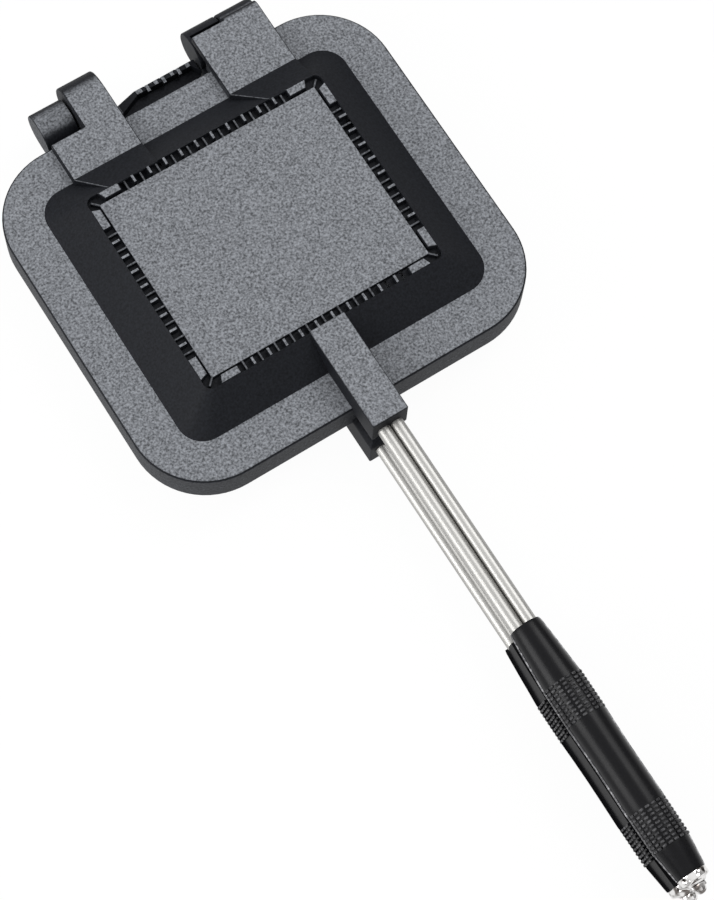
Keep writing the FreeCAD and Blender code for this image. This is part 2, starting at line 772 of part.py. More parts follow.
def make_cap_nut(name):
    """A small nut with a dome, closed at its far end."""
    body = new_body(name)
    outline = sketch_on(body, f"{name}_hexagon", "XZ_Plane", CAP_END)
    corners = []
    for number in range(HEXAGON_CORNERS):
        turn = 2 * math.pi * number / HEXAGON_CORNERS
        across = math.cos(turn) / math.cos(math.pi / HEXAGON_CORNERS)
        up = math.sin(turn) / math.cos(math.pi / HEXAGON_CORNERS)
        corners.append((f"nut_across_flats / 2 * ({across:.9f})",
                        f"rod_height + nut_across_flats / 2 * ({up:.9f})"))
    draw(outline, corners)
    pad(body, f"{name}_hex", outline, "nut_length")
    circle = sketch_on(body, f"{name}_dome_circle", "XZ_Plane", f"{CAP_END} + nut_length")
    draw_circle(circle, "0", "rod_height", "dome_radius")
    dome = pad(body, f"{name}_dome", circle, "dome_height")
    soften(body, f"{name}_dome_edge", dome, "dome_edge_radius",
           lambda box: lies_at(-box.YMin, NUT_END) and lies_at(-box.YMax, NUT_END))
    thread = sketch_on(body, f"{name}_thread_circle", "XZ_Plane", CAP_END)
    draw_circle(thread, "0", "rod_height", "stud_radius + press_gap")
    pocket(body, f"{name}_thread", thread, f"{ROD_END} + stud_length - {CAP_END} + stud_gap",
           flipped=True)
    return body


# Assembly

HANDLES = {}
for half in ("upper", "lower"):
    HANDLES[half] = [
        make_plate(f"{half}_plate"),
        make_rod(f"{half}_rod_left", -1 if half == "upper" else 1),
        make_rod(f"{half}_rod_right", 1 if half == "upper" else -1),
        make_grip(f"{half}_grip"),
        make_tie_stud(f"{half}_tie_stud"),
        make_end_cap(f"{half}_end_cap"),
        make_cap_nut(f"{half}_cap_nut"),
    ]
PINS = [
    make_pin("hinge_pin_left", "pin_inset - left_reach",
             f"{UPPER_LEFT_START} + left_reach - pin_inset + pin_reach"),
    make_pin("hinge_pin_right", "right_start + pin_inset",
             f"{UPPER_RIGHT_START} - right_start - pin_inset + pin_reach"),
]

# The pan's length runs from the end of the nuts to the back of the big knuckle.
MIDDLE = f"({NUT_END} - hinge_offset - {BIG_KNUCKLE}) / 2"


def place(body, height, turned_over):
    """Puts a piece on its half of the closed pan."""
    turn = FreeCAD.Rotation(FreeCAD.Vector(0, 1, 0), 180 if turned_over else 0)
    body.Placement = FreeCAD.Placement(FreeCAD.Vector(0, 0, 0), turn)
    body.setExpression("Placement.Base.y", cells(MIDDLE))
    body.setExpression("Placement.Base.z", cells(height))


for piece in HANDLES["upper"] + PINS:
    place(piece, "plate_height + parting_gap", False)
for piece in HANDLES["lower"]:
    place(piece, "plate_height", True)
doc.recompute()

# Checks before anything is written

PIECES = HANDLES["lower"] + PINS + HANDLES["upper"]
for item in doc.Objects:
    if "Invalid" in item.State or "Error" in item.State:
        raise RuntimeError(f"{item.Name} failed: {item.State}")
for cut in CUTS:
    if cut.Shape.Volume >= cut.BaseFeature.Shape.Volume:
        raise RuntimeError(f"{cut.Name} cuts nothing")
for piece in PIECES:
    if piece.Shape.isNull() or not piece.Shape.isValid() or len(piece.Shape.Solids) != 1:
        raise RuntimeError(f"{piece.Label} is not one valid solid")

os.makedirs("parts", exist_ok=True)
for piece in PIECES:
    piece.Shape.exportStep(f"parts/{piece.Label}.step")
    box = piece.Shape.BoundBox
    print(f"{piece.Label:18s} volume {piece.Shape.Volume:10.1f} mm3  x {box.XMin:8.2f} {box.XMax:8.2f}"
          f"  y {box.YMin:8.2f} {box.YMax:8.2f}  z {box.ZMin:7.2f} {box.ZMax:7.2f}")
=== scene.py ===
import json
import math

import bmesh
import bpy
from mathutils import Matrix, Vector


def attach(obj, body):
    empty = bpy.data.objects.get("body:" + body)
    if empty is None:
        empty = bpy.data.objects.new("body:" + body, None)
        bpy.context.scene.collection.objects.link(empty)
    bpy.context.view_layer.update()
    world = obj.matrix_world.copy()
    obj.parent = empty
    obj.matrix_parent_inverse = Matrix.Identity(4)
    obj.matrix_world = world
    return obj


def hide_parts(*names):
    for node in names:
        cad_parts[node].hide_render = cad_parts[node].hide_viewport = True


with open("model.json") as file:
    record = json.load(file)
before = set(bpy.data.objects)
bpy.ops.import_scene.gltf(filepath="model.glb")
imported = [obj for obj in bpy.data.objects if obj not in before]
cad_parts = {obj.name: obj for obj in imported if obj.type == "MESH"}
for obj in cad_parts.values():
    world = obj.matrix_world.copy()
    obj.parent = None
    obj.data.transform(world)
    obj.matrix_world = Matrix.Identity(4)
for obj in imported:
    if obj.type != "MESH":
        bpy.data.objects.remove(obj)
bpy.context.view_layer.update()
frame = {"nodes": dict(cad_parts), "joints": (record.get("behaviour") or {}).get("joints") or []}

# The upper half is one aluminium casting with a black-grey speckled coating. Its pan shape is the
# same as the lower half's: a flat rim, a box with sloped sides, and a plateau inside a frame of
# teeth. Each half is shaped with its open face at z = 0, outside up, and then put in its place.

MM = 0.001

# Each outline of the pan is a width, a length and a corner radius.
RIM = (150 * MM, 135 * MM, 27 * MM)
RIM_TOP = 7.0 * MM
RIM_ROUND = 0.93 * MM
FOOT = (119.4 * MM, 104.6 * MM, 9.5 * MM)
FRAME = (92.6 * MM, 80.4 * MM, 2.9 * MM)
FRAME_EDGE = 17.08 * MM
TOOTH_TOP = 17.3 * MM
POCKET_FLOOR = 14.7 * MM
PLATEAU = (85.4 * MM, 73.2 * MM, 0.5 * MM)
PLATEAU_TOP = 16.3 * MM
PLATEAU_EDGE = 0.22 * MM
MOUTH = (112 * MM, 97 * MM, 12 * MM)
CEILING = (90 * MM, 77 * MM, 8 * MM)
HOLLOW_DEPTH = 12.4 * MM
CORNER_STEPS = 16
STACK = 30 * MM
ROUND_STEPS = 4
LEAST_RADIUS = 0.1 * MM
SAME_PLACE = 0.01 * MM
SHARP_FROM = math.radians(32)

HINGE_OFFSET = 77.3 * MM
HALF_GAP = 0.05 * MM
hinge = Vector(frame["joints"][0]["pos_m"])
MIDDLE_Y = hinge.y - HINGE_OFFSET


def deselect():
    """Leaves no object selected."""
    bpy.ops.object.select_all(action="DESELECT")


def take(piece):
    """Makes a piece the only one selected."""
    deselect()
    piece.select_set(True)
    bpy.context.view_layer.objects.active = piece


def choose(kind, test):
    """In edit mode, selects the vertices, edges or faces whose points all pass a test."""
    bpy.ops.mesh.select_all(action="DESELECT")
    bpy.ops.mesh.select_mode(type=kind)
    mesh = bmesh.from_edit_mesh(bpy.context.edit_object.data)
    group = {"VERT": mesh.verts, "EDGE": mesh.edges, "FACE": mesh.faces}[kind]
    for item in group:
        points = [item] if kind == "VERT" else item.verts
        if all(test(point.co) for point in points):
            item.select_set(True)
    mesh.select_flush_mode()
    bmesh.update_edit_mesh(bpy.context.edit_object.data)


def near(a, b):
    """True where two lengths are the same but for rounding."""
    return abs(a - b) < SAME_PLACE


def add_outline(size, height):
    """In edit mode, adds the edge of a rectangle with round corners."""
    width, length, radius = size
    bpy.ops.mesh.primitive_plane_add(size=1, location=(0, 0, height))
    bpy.ops.transform.resize(value=(width, length, 1), center_override=(0, 0, height))
    bpy.ops.mesh.bevel(offset=radius, segments=CORNER_STEPS, affect="VERTICES")
    bpy.ops.mesh.delete(type="ONLY_FACE")


def choose_outlines(wanted):
    """In edit mode, selects outlines by their number, in the order they were added."""
    bpy.ops.mesh.select_all(action="DESELECT")
    bpy.ops.mesh.select_mode(type="EDGE")
    count = 4 * (CORNER_STEPS + 1)
    mesh = bmesh.from_edit_mesh(bpy.context.edit_object.data)
    mesh.verts.index_update()
    for edge in mesh.edges:
        numbers = {point.index // count for point in edge.verts}
        if len(numbers) == 1 and numbers <= set(wanted):
            edge.select_set(True)
    bmesh.update_edit_mesh(bpy.context.edit_object.data)


def smaller(size, inset):
    """The size of an outline moved in by the same amount all round."""
    width, length, radius = size
    return width - 2 * inset, length - 2 * inset, max(radius - inset, LEAST_RADIUS)


def cast_pan(name):
    """The rim, the sloped box, the band for the teeth, the plateau and the hollow inside."""
    deselect()
    bpy.ops.mesh.primitive_plane_add(size=1)
    pan = bpy.context.object
    pan.name = name
    bpy.ops.object.mode_set(mode="EDIT")
    bpy.ops.mesh.delete(type="VERT")
    outlines = [(CEILING, HOLLOW_DEPTH), (MOUTH, 0), (RIM, 0)]
    for step in range(ROUND_STEPS + 1):
        turn = math.pi / 2 * step / ROUND_STEPS
        inset = RIM_ROUND * (1 - math.cos(turn))
        outlines.append((smaller(RIM, inset), RIM_TOP - RIM_ROUND * (1 - math.sin(turn))))
    outlines += [
        (FOOT, RIM_TOP),
        (FRAME, FRAME_EDGE),
        (FRAME, POCKET_FLOOR),
        (PLATEAU, POCKET_FLOOR),
        (PLATEAU, PLATEAU_TOP),
    ]

    # The outlines stand a step apart until they are bridged, and then go to their own heights.
    for index, (size, _) in enumerate(outlines):
        add_outline(size, index * STACK)
    for index in range(len(outlines) - 1):
        choose_outlines((index, index + 1))
        bpy.ops.mesh.bridge_edge_loops()
    for index, (_, height) in enumerate(outlines):
        choose_outlines((index,))
        bpy.ops.transform.translate(value=(0, 0, height - index * STACK))
    for height in (HOLLOW_DEPTH, PLATEAU_TOP):
        choose("EDGE", lambda place: near(place.z, height))
        bpy.ops.mesh.edge_face_add()
    bpy.ops.mesh.select_all(action="SELECT")
    bpy.ops.mesh.normals_make_consistent(inside=False)
    choose("EDGE", lambda place: near(place.z, PLATEAU_TOP))
    bpy.ops.mesh.bevel(offset=PLATEAU_EDGE, segments=2)
    bpy.ops.object.mode_set(mode="OBJECT")
    return pan


def settle():
    """Applies the place, turn and scale of the object just added, and returns it."""
    bpy.ops.object.transform_apply(location=True, rotation=True, scale=True)
    return bpy.context.object


def block(low, high):
    """A cube between two corners."""
    low = Vector(low)
    high = Vector(high)
    deselect()
    bpy.ops.mesh.primitive_cube_add(size=1, location=(low + high) / 2, scale=high - low)
    return settle()


def use(piece, kind, **settings):
    """Adds a modifier to a piece and applies it."""
    take(piece)
    modifier = piece.modifiers.new(kind.title(), kind)
    for key, setting in settings.items():
        setattr(modifier, key, setting)
    bpy.ops.object.modifier_apply(modifier=modifier.name)


def soften(piece, width, segments=2):
    """Rounds every sharp edge of a piece."""
    use(piece, "BEVEL", width=width, segments=segments, limit_method="ANGLE",
        angle_limit=SHARP_FROM)


def weld(piece, part, many=False):
    """Joins a part to a piece as one skin. Many says that the part is several loose ones."""
    use(piece, "BOOLEAN", object=part, operation="UNION", solver="EXACT", use_self=many)
    bpy.data.objects.remove(part)


def carve(piece, cutter):
    """Cuts a shape out of a piece."""
    use(piece, "BOOLEAN", object=cutter, operation="DIFFERENCE", solver="EXACT")
    bpy.data.objects.remove(cutter)


def row(piece, count, step):
    """Repeats a piece along a line."""
    use(piece, "ARRAY", count=count, use_relative_offset=False, use_constant_offset=True,
        constant_offset_displace=step)


def gather(parts):
    """Makes one object of several."""
    deselect()
    for part in parts:
        part.select_set(True)
    bpy.context.view_layer.objects.active = parts[0]
    bpy.ops.object.join()
    return parts[0]


TOOTH_PITCH = 6.2 * MM
TOOTH_HALF = 0.55 * MM
RIB_HALF = 0.42 * MM
TOOTH_EDGE = 0.16 * MM
TOOTH_OVERHANG = 0.12 * MM
TOOTH_LENGTH = 2.9 * MM
RIB_LENGTH = 3.9 * MM
RIB_TOP = PLATEAU_TOP - 0.02 * MM
BURIED = 0.3 * MM
WIDE_SIDE = (40.1 * MM, 10)
SHORT_SIDE = (46.2 * MM, 8)
CORNER_BAR_EDGE = 0.3 * MM
WIDE_BAR = ((33.3 * MM, 37.15 * MM), (41.2 * MM, 40.3 * MM))
WIDE_BAR_SLANT = 1.4 * MM
SHORT_BAR = ((43.15 * MM, 27.3 * MM), (46.4 * MM, 35.9 * MM))
SHORT_BAR_SLANT = 1.2 * MM
CORNER_RIB = (-1.2 * MM, 2.5 * MM)
CORNER_RIB_AT = (43.0 * MM, 36.9 * MM)


def tooth_side(across, teeth, along_x, side):
    """One side of the frame: free teeth, and ribs that reach over from the plateau between them."""
    outer = across + TOOTH_OVERHANG
    inner = across - TOOTH_LENGTH
    plateau = across - RIB_LENGTH
    first = -TOOTH_PITCH * (teeth - 1) / 2
    step = (TOOTH_PITCH, 0, 0) if along_x else (0, TOOTH_PITCH, 0)
    parts = []
    for middle, half, near_end, top, count in (
            (first, TOOTH_HALF, inner, TOOTH_TOP, teeth),
            (first - TOOTH_PITCH / 2, RIB_HALF, plateau, RIB_TOP, teeth + 1)):
        span = sorted((side * near_end, side * outer))
        low = (middle - half, span[0], POCKET_FLOOR - BURIED)
        high = (middle + half, span[1], top)
        if not along_x:
            low = (low[1], low[0], low[2])
            high = (high[1], high[0], high[2])
        tooth = block(low, high)
        soften(tooth, TOOTH_EDGE)
        row(tooth, count, step)
        parts.append(tooth)
    return parts


def corner_bar(wide_side, side_x, side_y):
    """The long tooth beside a corner, cut at a slant towards it."""
    low, high = WIDE_BAR if wide_side else SHORT_BAR
    bar = block((*low, POCKET_FLOOR - BURIED), (*high, TOOTH_TOP))
    bpy.ops.object.mode_set(mode="EDIT")
    if wide_side:
        choose("VERT", lambda place: near(place.x, high[0]) and near(place.y, low[1]))
        bpy.ops.transform.translate(value=(-WIDE_BAR_SLANT, 0, 0))
    else:
        choose("VERT", lambda place: near(place.y, high[1]) and near(place.x, low[0]))
        bpy.ops.transform.translate(value=(0, -SHORT_BAR_SLANT, 0))
    bpy.ops.mesh.select_all(action="SELECT")
    bpy.ops.transform.resize(value=(side_x, side_y, 1), center_override=(0, 0, 0))
    bpy.ops.mesh.normals_make_consistent(inside=False)
    bpy.ops.object.mode_set(mode="OBJECT")
    soften(bar, CORNER_BAR_EDGE)
    return bar


def corner_rib(side_x, side_y):
    """The thin rib from the plateau's corner out to the frame's corner."""
    rib = block((CORNER_RIB[0], -RIB_HALF, POCKET_FLOOR - BURIED),
                (CORNER_RIB[1], RIB_HALF, RIB_TOP))
    soften(rib, TOOTH_EDGE)
    bpy.ops.object.mode_set(mode="EDIT")
    bpy.ops.mesh.select_all(action="SELECT")
    bpy.ops.transform.rotate(value=-math.atan2(side_y, side_x), orient_axis="Z",
                             center_override=(0, 0, 0))
    bpy.ops.transform.translate(
        value=(side_x * CORNER_RIB_AT[0], side_y * CORNER_RIB_AT[1], 0))
    bpy.ops.object.mode_set(mode="OBJECT")
    return rib


def tooth_frame():
    """All the teeth round a plateau, as one object."""
    parts = []
    for side in (-1, 1):
        parts += tooth_side(*WIDE_SIDE, True, side)
        parts += tooth_side(*SHORT_SIDE, False, side)
    for side_x in (-1, 1):
        for side_y in (-1, 1):
            parts.append(corner_bar(True, side_x, side_y))
            parts.append(corner_bar(False, side_x, side_y))
            parts.append(corner_rib(side_x, side_y))
    return gather(parts)


LUG_HALF = 6.9 * MM
LUG_REACH = 79.4 * MM
LUG_INNER_END = 39.6 * MM
LUG_BEND = 48 * MM
LUG_UNDERSIDE = 2.65 * MM
LUG_LOWER_ROUND = 3.0 * MM
LUG_EDGE = 0.4 * MM
HOLLOW_CLEAR = 12.7 * MM


def handle_lug():
    """The block that holds the handle rods, with its lower edges well rounded."""
    lug = block((-LUG_HALF, -LUG_REACH, LUG_UNDERSIDE), (LUG_HALF, -LUG_INNER_END, TOOTH_TOP))
    bpy.ops.object.mode_set(mode="EDIT")
    bpy.ops.mesh.select_all(action="SELECT")
    bpy.ops.mesh.bisect(plane_co=(0, -LUG_BEND, 0), plane_no=(0, 1, 0))
    choose("VERT", lambda place: near(place.z, LUG_UNDERSIDE) and near(place.y, -LUG_INNER_END))
    bpy.ops.transform.translate(value=(0, 0, HOLLOW_CLEAR - LUG_UNDERSIDE))
    choose("EDGE", lambda place: near(place.z, LUG_UNDERSIDE) and near(abs(place.x), LUG_HALF))
    bpy.ops.mesh.bevel(offset=LUG_LOWER_ROUND, segments=6)
    bpy.ops.object.mode_set(mode="OBJECT")
    soften(lug, LUG_EDGE, segments=3)
    return lug


def hinge_cylinder(start, end, radius, facets):
    """A cylinder about the hinge's axis."""
    deselect()
    bpy.ops.mesh.primitive_cylinder_add(
        vertices=facets, radius=radius, depth=end - start,
        location=((start + end) / 2, HINGE_OFFSET, -HALF_GAP), rotation=(0, math.pi / 2, 0))
    return settle()


BARREL_FACETS = 72
BARREL_EDGE = 0.5 * MM


def barrel(span, radius, edge=BARREL_EDGE):
    """A knuckle's round body."""
    knuckle = hinge_cylinder(*span, radius, BARREL_FACETS)
    soften(knuckle, edge, segments=3)
    return knuckle


ARM_TOP = 11.05 * MM
ARM_FRONT = 51.4 * MM
ARM_FOOT = 3.5 * MM
ARM_EDGE = 0.3 * MM
RAMP_END = 39.9 * MM
RAMP_TOP = TOOTH_TOP - 0.1 * MM
NECK_FRONT = 55 * MM
NECK_FLOOR = 0.35 * MM
BIG_KNUCKLE = ARM_TOP + HALF_GAP
SMALL_KNUCKLE = 7.5 * MM
LEFT_ARM = (-44.4 * MM, -17.45 * MM)
LEFT_KNUCKLE = (-31.05 * MM, -17.45 * MM)
LEFT_ARM_BACK = 66.8 * MM
LEFT_RAMP_CUT = 7.9 * MM
RIGHT_ARM = (17.6 * MM, 44.5 * MM)
RIGHT_KNUCKLE = (30.85 * MM, 44.5 * MM)
RIGHT_ARM_BACK = 67.5 * MM
RIGHT_RAMP_CUT = 9.4 * MM
RIGHT_COVER_OVERLAP = 1 * MM
RIGHT_COVER_SPAN = (58 * MM, 77.0 * MM)
RIGHT_COVER_FLOOR = SMALL_KNUCKLE + 0.45 * MM
RIGHT_TONGUE_BACK = 79.3 * MM
RIGHT_TONGUE_ROUND = 3.0 * MM


def arm_with_ramp(span, back, cut_at_frame):
    """The flat arm over the rim and the ramp that rises from it to the frame."""
    arm = block((span[0], RAMP_END, ARM_FOOT), (span[1], back, ARM_TOP))
    bpy.ops.object.mode_set(mode="EDIT")
    bpy.ops.mesh.select_all(action="SELECT")
    bpy.ops.mesh.bisect(plane_co=(0, ARM_FRONT, 0), plane_no=(0, 1, 0))
    choose("VERT", lambda place: near(place.y, RAMP_END) and near(place.z, ARM_TOP))
    bpy.ops.transform.translate(value=(0, 0, RAMP_TOP - ARM_TOP))
    choose("VERT", lambda place: near(place.y, RAMP_END) and near(place.z, ARM_FOOT))
    bpy.ops.transform.translate(value=(0, 0, HOLLOW_CLEAR - ARM_FOOT))
    choose("VERT", lambda place: near(place.y, RAMP_END) and near(place.x, span[0]))
    bpy.ops.transform.translate(value=(cut_at_frame, 0, 0))
    bpy.ops.object.mode_set(mode="OBJECT")
    soften(arm, ARM_EDGE)
    return arm


def left_arm():
    """A notched arm whose tongue ends in the big round knuckle."""
    arm = arm_with_ramp(LEFT_ARM, LEFT_ARM_BACK, LEFT_RAMP_CUT)
    tongue = block((LEFT_KNUCKLE[0], NECK_FRONT, NECK_FLOOR),
                   (LEFT_KNUCKLE[1], HINGE_OFFSET, ARM_TOP))
    soften(tongue, ARM_EDGE)
    weld(tongue, barrel(LEFT_KNUCKLE, BIG_KNUCKLE))
    weld(arm, tongue)
    return arm


def right_arm():
    """A full-width arm that covers the lower knuckle and carries a small one of its own."""
    arm = arm_with_ramp(RIGHT_ARM, RIGHT_ARM_BACK, RIGHT_RAMP_CUT)
    cover = block((RIGHT_ARM[0], RIGHT_COVER_SPAN[0], RIGHT_COVER_FLOOR),
                  (RIGHT_KNUCKLE[0] + RIGHT_COVER_OVERLAP, RIGHT_COVER_SPAN[1], ARM_TOP))
    soften(cover, ARM_EDGE)
    weld(arm, cover)
    tongue = block((RIGHT_KNUCKLE[0], NECK_FRONT, NECK_FLOOR),
                   (RIGHT_KNUCKLE[1], RIGHT_TONGUE_BACK, ARM_TOP))
    bpy.ops.object.mode_set(mode="EDIT")
    choose("EDGE", lambda place: near(place.z, ARM_TOP) and near(place.y, RIGHT_TONGUE_BACK))
    bpy.ops.mesh.bevel(offset=RIGHT_TONGUE_ROUND, segments=8)
    bpy.ops.object.mode_set(mode="OBJECT")
    soften(tongue, ARM_EDGE)
    weld(tongue, barrel(RIGHT_KNUCKLE, SMALL_KNUCKLE))
    weld(arm, tongue)
    return arm


RIM_CUT_FRONT = 64 * MM
RIM_CUT_BACK = 80 * MM
RIM_CUT_HEIGHTS = (-5 * MM, 12 * MM)
RIM_CUT_UNDER_ARM = 2 * MM
RIM_CUT_ROUND = 3.0 * MM

upper = cast_pan("upper_casting")
carve(upper, block((LEFT_ARM[1] - RIM_CUT_UNDER_ARM, RIM_CUT_FRONT, RIM_CUT_HEIGHTS[0]),
                   (RIGHT_ARM[0] + RIM_CUT_UNDER_ARM, RIM_CUT_BACK, RIM_CUT_HEIGHTS[1])))
bpy.ops.object.mode_set(mode="EDIT")
choose("EDGE", lambda place: near(place.z, RIM_TOP) and near(place.y, RIM_CUT_FRONT))
bpy.ops.mesh.bevel(offset=RIM_CUT_ROUND, segments=8)
bpy.ops.object.mode_set(mode="OBJECT")
weld(upper, handle_lug())
weld(upper, left_arm())
weld(upper, right_arm())
weld(upper, tooth_frame(), many=True)

SMOOTH_UP_TO = math.radians(24)
# Shares of the painted sheen that stands in for lamplight: some on walls and knuckle ends, painted
# highlights on ramp edges, lip edges and barrels, and less on ribs and inner knuckle ends, as
# painted shade.
WALL_PAINTED_SHEEN = 0.14
RAMP_EDGE_PAINTED_HIGHLIGHT = 0.5
KNUCKLE_END_PAINTED_SHEEN = 0.28
BARREL_PAINTED_HIGHLIGHT = 0.8
LIP_EDGE_PAINTED_HIGHLIGHT = 0.45
RIB_PAINTED_SHEEN = 0.5
INNER_END_PAINTED_SHEEN = 0.06
SMALL_FACE = 8 * MM * MM
OUTER_END = 40 * MM
RIM_BACK = RIM[1] / 2 + 0.1 * MM
RAMP_FRONT = 39.7 * MM
RAMP_BACK = ARM_FRONT - 0.1 * MM
RAMP_HEIGHTS = (RIM_TOP + 0.5 * MM, TOOTH_TOP - 0.05 * MM)
ARMS_START = 17.0 * MM
SLANTED_LIP = (6 * MM, 15.4 * MM)
LIP_TOOTH_HEIGHTS = (-0.1 * MM, 0.3 * MM)
BARREL_UNDER = -1 * MM

# Faces are told apart by how much their normals point up, and how much they point sideways.
UPRIGHT = 0.2
SIDEWAYS = 0.95
RAMP_EDGE_SIDE = -0.2
RAMP_EDGE_UP = 0.25
LIP_EDGE_UP = (-0.98, -0.3)
LIP_TOOTH_UP = -0.99
BARREL_SIDE = 0.9
KNUCKLE_TOP_SIDE = 0.1
KNUCKLE_TOP_UP = (0.5, 0.9999)

# The painted sheen comes in as a face or corner turns level: none at the first share, all at the
# second.
LEVEL_STEP = (0.93, 0.995)
BARREL_STEP = (0.72, 0.99)
KNUCKLE_TOP_STEP = (0.84, 0.995)

# Each tone has its stops on the noise, with a colour at each.
# The light tone is painted sheen where faces turn up to the lamps; the dark tone is the coat's own
# near-black, left on slopes and in shaded places.
PAINTED_SHEEN_TONES = ((0.32, (0.060, 0.063, 0.069)), (0.68, (0.262, 0.275, 0.299)))
DARK_GRAIN = ((0.3, (0.005, 0.0055, 0.0072)), (0.7, (0.0125, 0.014, 0.018)))
GRAIN_TILT = (0.62, 0.47, 0.31)
GRAIN_SCALE = 1280
BLOTCH_SCALE = 2300
BLOTCH_SHARE = 0.25


def put_in_place(piece, name, body, node, turned_over):
    """Moves a shaped piece from its half's own frame to its place in the closed pan."""
    take(piece)
    piece.name = name
    height = hinge.z - HALF_GAP if turned_over else hinge.z + HALF_GAP
    if turned_over:
        piece.rotation_euler = (0, math.pi, 0)
    piece.location = (0, MIDDLE_Y, height)
    settle()
    bpy.ops.object.shade_smooth_by_angle(angle=SMOOTH_UP_TO)
    use(piece, "WEIGHTED_NORMAL", keep_sharp=True)
    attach(piece, body)
    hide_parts(node)


def paint(piece, material):
    """Gives a piece one material."""
    piece.data.materials.clear()
    piece.data.materials.append(material)


def new_material(name):
    """A material with its shader, and what is needed to add nodes to it."""
    material = bpy.data.materials.new(name)
    material.use_nodes = True
    nodes = material.node_tree.nodes
    return material, nodes, material.node_tree.links.new, nodes["Principled BSDF"]


def noise_on(nodes, link, source, scale, detail=2.0):
    """A noise value on a vector output."""
    noise = nodes.new("ShaderNodeTexNoise")
    noise.inputs["Scale"].default_value = scale
    noise.inputs["Detail"].default_value = detail
    link(source, noise.inputs["Vector"])
    return noise.outputs["Fac"]


def tone_on(nodes, link, source, stops):
    """A colour ramp on a value, with a position and a colour for each stop."""
    ramp = nodes.new("ShaderNodeValToRGB")
    elements = ramp.color_ramp.elements
    for position, _ in stops[1:-1]:
        elements.new(position)
    for element, (position, color) in zip(elements, stops):
        element.position = position
        element.color = (*color, 1)
    link(source, ramp.inputs["Fac"])
    return ramp.outputs["Color"]


def range_on(nodes, link, source, low, high):
    """A value brought from 0 to 1 to between a low and a high one."""
    span = nodes.new("ShaderNodeMapRange")
    span.inputs["To Min"].default_value = low
    span.inputs["To Max"].default_value = high
    link(source, span.inputs["Value"])
    return span.outputs["Result"]


def color_mix(nodes, link, factor, first, second):
    """Two colours, mixed by a value."""
    color = nodes.new("ShaderNodeMix")
    color.data_type = "RGBA"
    link(factor, color.inputs["Factor"])
    link(first, color.inputs["A"])
    link(second, color.inputs["B"])
    return color.outputs["Result"]


def share_of(nodes, name):
    """The value that a mesh's own attribute holds."""
    marked = nodes.new("ShaderNodeAttribute")
    marked.attribute_name = name
    return marked.outputs["Fac"]


def roughen(nodes, link, shader, height, strength, distance):
    """Lets a value raise and sink the surface a little."""
    bump = nodes.new("ShaderNodeBump")
    bump.inputs["Strength"].default_value = strength
    bump.inputs["Distance"].default_value = distance
    link(height, bump.inputs["Height"])
    link(bump.outputs["Normal"], shader.inputs["Normal"])


def soft_step(value, start, end):
    """0 below the start, 1 above the end and smooth between."""
    share = min(max((value - start) / (end - start), 0), 1)
    return share * share * (3 - 2 * share)


def mark_painted_sheen(piece):
    """Stores how much painted sheen, a light grain tone that stands in for lamplight, shows on each
    face of a half's mesh: all of it on the flats, some on ribs, upright walls and knuckles, none on
    slopes and, as painted shade, in the toothed band."""
    take(piece)
    bpy.ops.object.shade_smooth_by_angle(angle=SMOOTH_UP_TO)
    mesh = piece.data
    shares = [0.0] * len(mesh.loops)
    for face in mesh.polygons:
        place = face.center
        slope = face.normal.z
        side = abs(face.normal.x)
        inside_rim = abs(place.y) < RIM_BACK
        behind_rim = place.y > 0 and not inside_rim
        on_ramp = (RAMP_FRONT < place.y < RAMP_BACK and abs(place.x) > ARMS_START
                   and RAMP_HEIGHTS[0] < place.z < RAMP_HEIGHTS[1])
        under_barrel = (behind_rim and place.z < BARREL_UNDER and place.x > 0
                        and side < BARREL_SIDE)
        knuckle_top = (behind_rim and KNUCKLE_TOP_UP[0] < slope < KNUCKLE_TOP_UP[1]
                       and side < KNUCKLE_TOP_SIDE)
        small = face.area < SMALL_FACE
        # Ramps get no sheen; their small edge faces get a painted highlight line.
        if on_ramp:
            on_edge = small and face.normal.x < RAMP_EDGE_SIDE and slope > RAMP_EDGE_UP
            share = RAMP_EDGE_PAINTED_HIGHLIGHT if on_edge else 0.0
        # Behind the rim, the slanted lip's edges get a painted highlight and the lip teeth tops
        # full sheen.
        elif behind_rim and slope < UPRIGHT and side < SIDEWAYS:
            on_slant = SLANTED_LIP[0] < place.x < SLANTED_LIP[1]
            lip_edge = on_slant and small and LIP_EDGE_UP[0] < slope < LIP_EDGE_UP[1]
            at_teeth = LIP_TOOTH_HEIGHTS[0] < place.z < LIP_TOOTH_HEIGHTS[1]
            share = LIP_EDGE_PAINTED_HIGHLIGHT if lip_edge else float(at_teeth and slope < LIP_TOOTH_UP)
        # Outer knuckle ends get painted sheen, inner ones almost none, as painted shade.
        elif behind_rim and side > SIDEWAYS:
            share = KNUCKLE_END_PAINTED_SHEEN if abs(place.x) > OUTER_END else INNER_END_PAINTED_SHEEN
        # Pocket floors get no sheen, as painted shade between the teeth.
        elif near(place.z, POCKET_FLOOR):
            share = 0.0
        # Rim walls get a part of the sheen, as painted lamplight.
        elif abs(slope) < UPRIGHT and place.z < RIM_TOP and inside_rim:
            share = WALL_PAINTED_SHEEN
        # Ribs get half the sheen, as painted shade.
        elif near(place.z, RIB_TOP) and small:
            share = RIB_PAINTED_SHEEN * soft_step(slope, *LEVEL_STEP)
        else:
            share = soft_step(abs(slope), *LEVEL_STEP)
        for corner in face.loop_indices:
            upward = mesh.corner_normals[corner].vector.z
            # On barrels and knuckle tops, corners whose normals point up get a painted highlight
            # band.
            if under_barrel:
                shares[corner] = BARREL_PAINTED_HIGHLIGHT * soft_step(-upward, *BARREL_STEP)
            elif knuckle_top:
                shares[corner] = soft_step(upward, *KNUCKLE_TOP_STEP)
            else:
                shares[corner] = share
    # The shares go into the painted sheen attribute.
    grain = mesh.attributes.new("painted_sheen_share", "FLOAT", "CORNER")
    grain.data.foreach_set("value", shares)


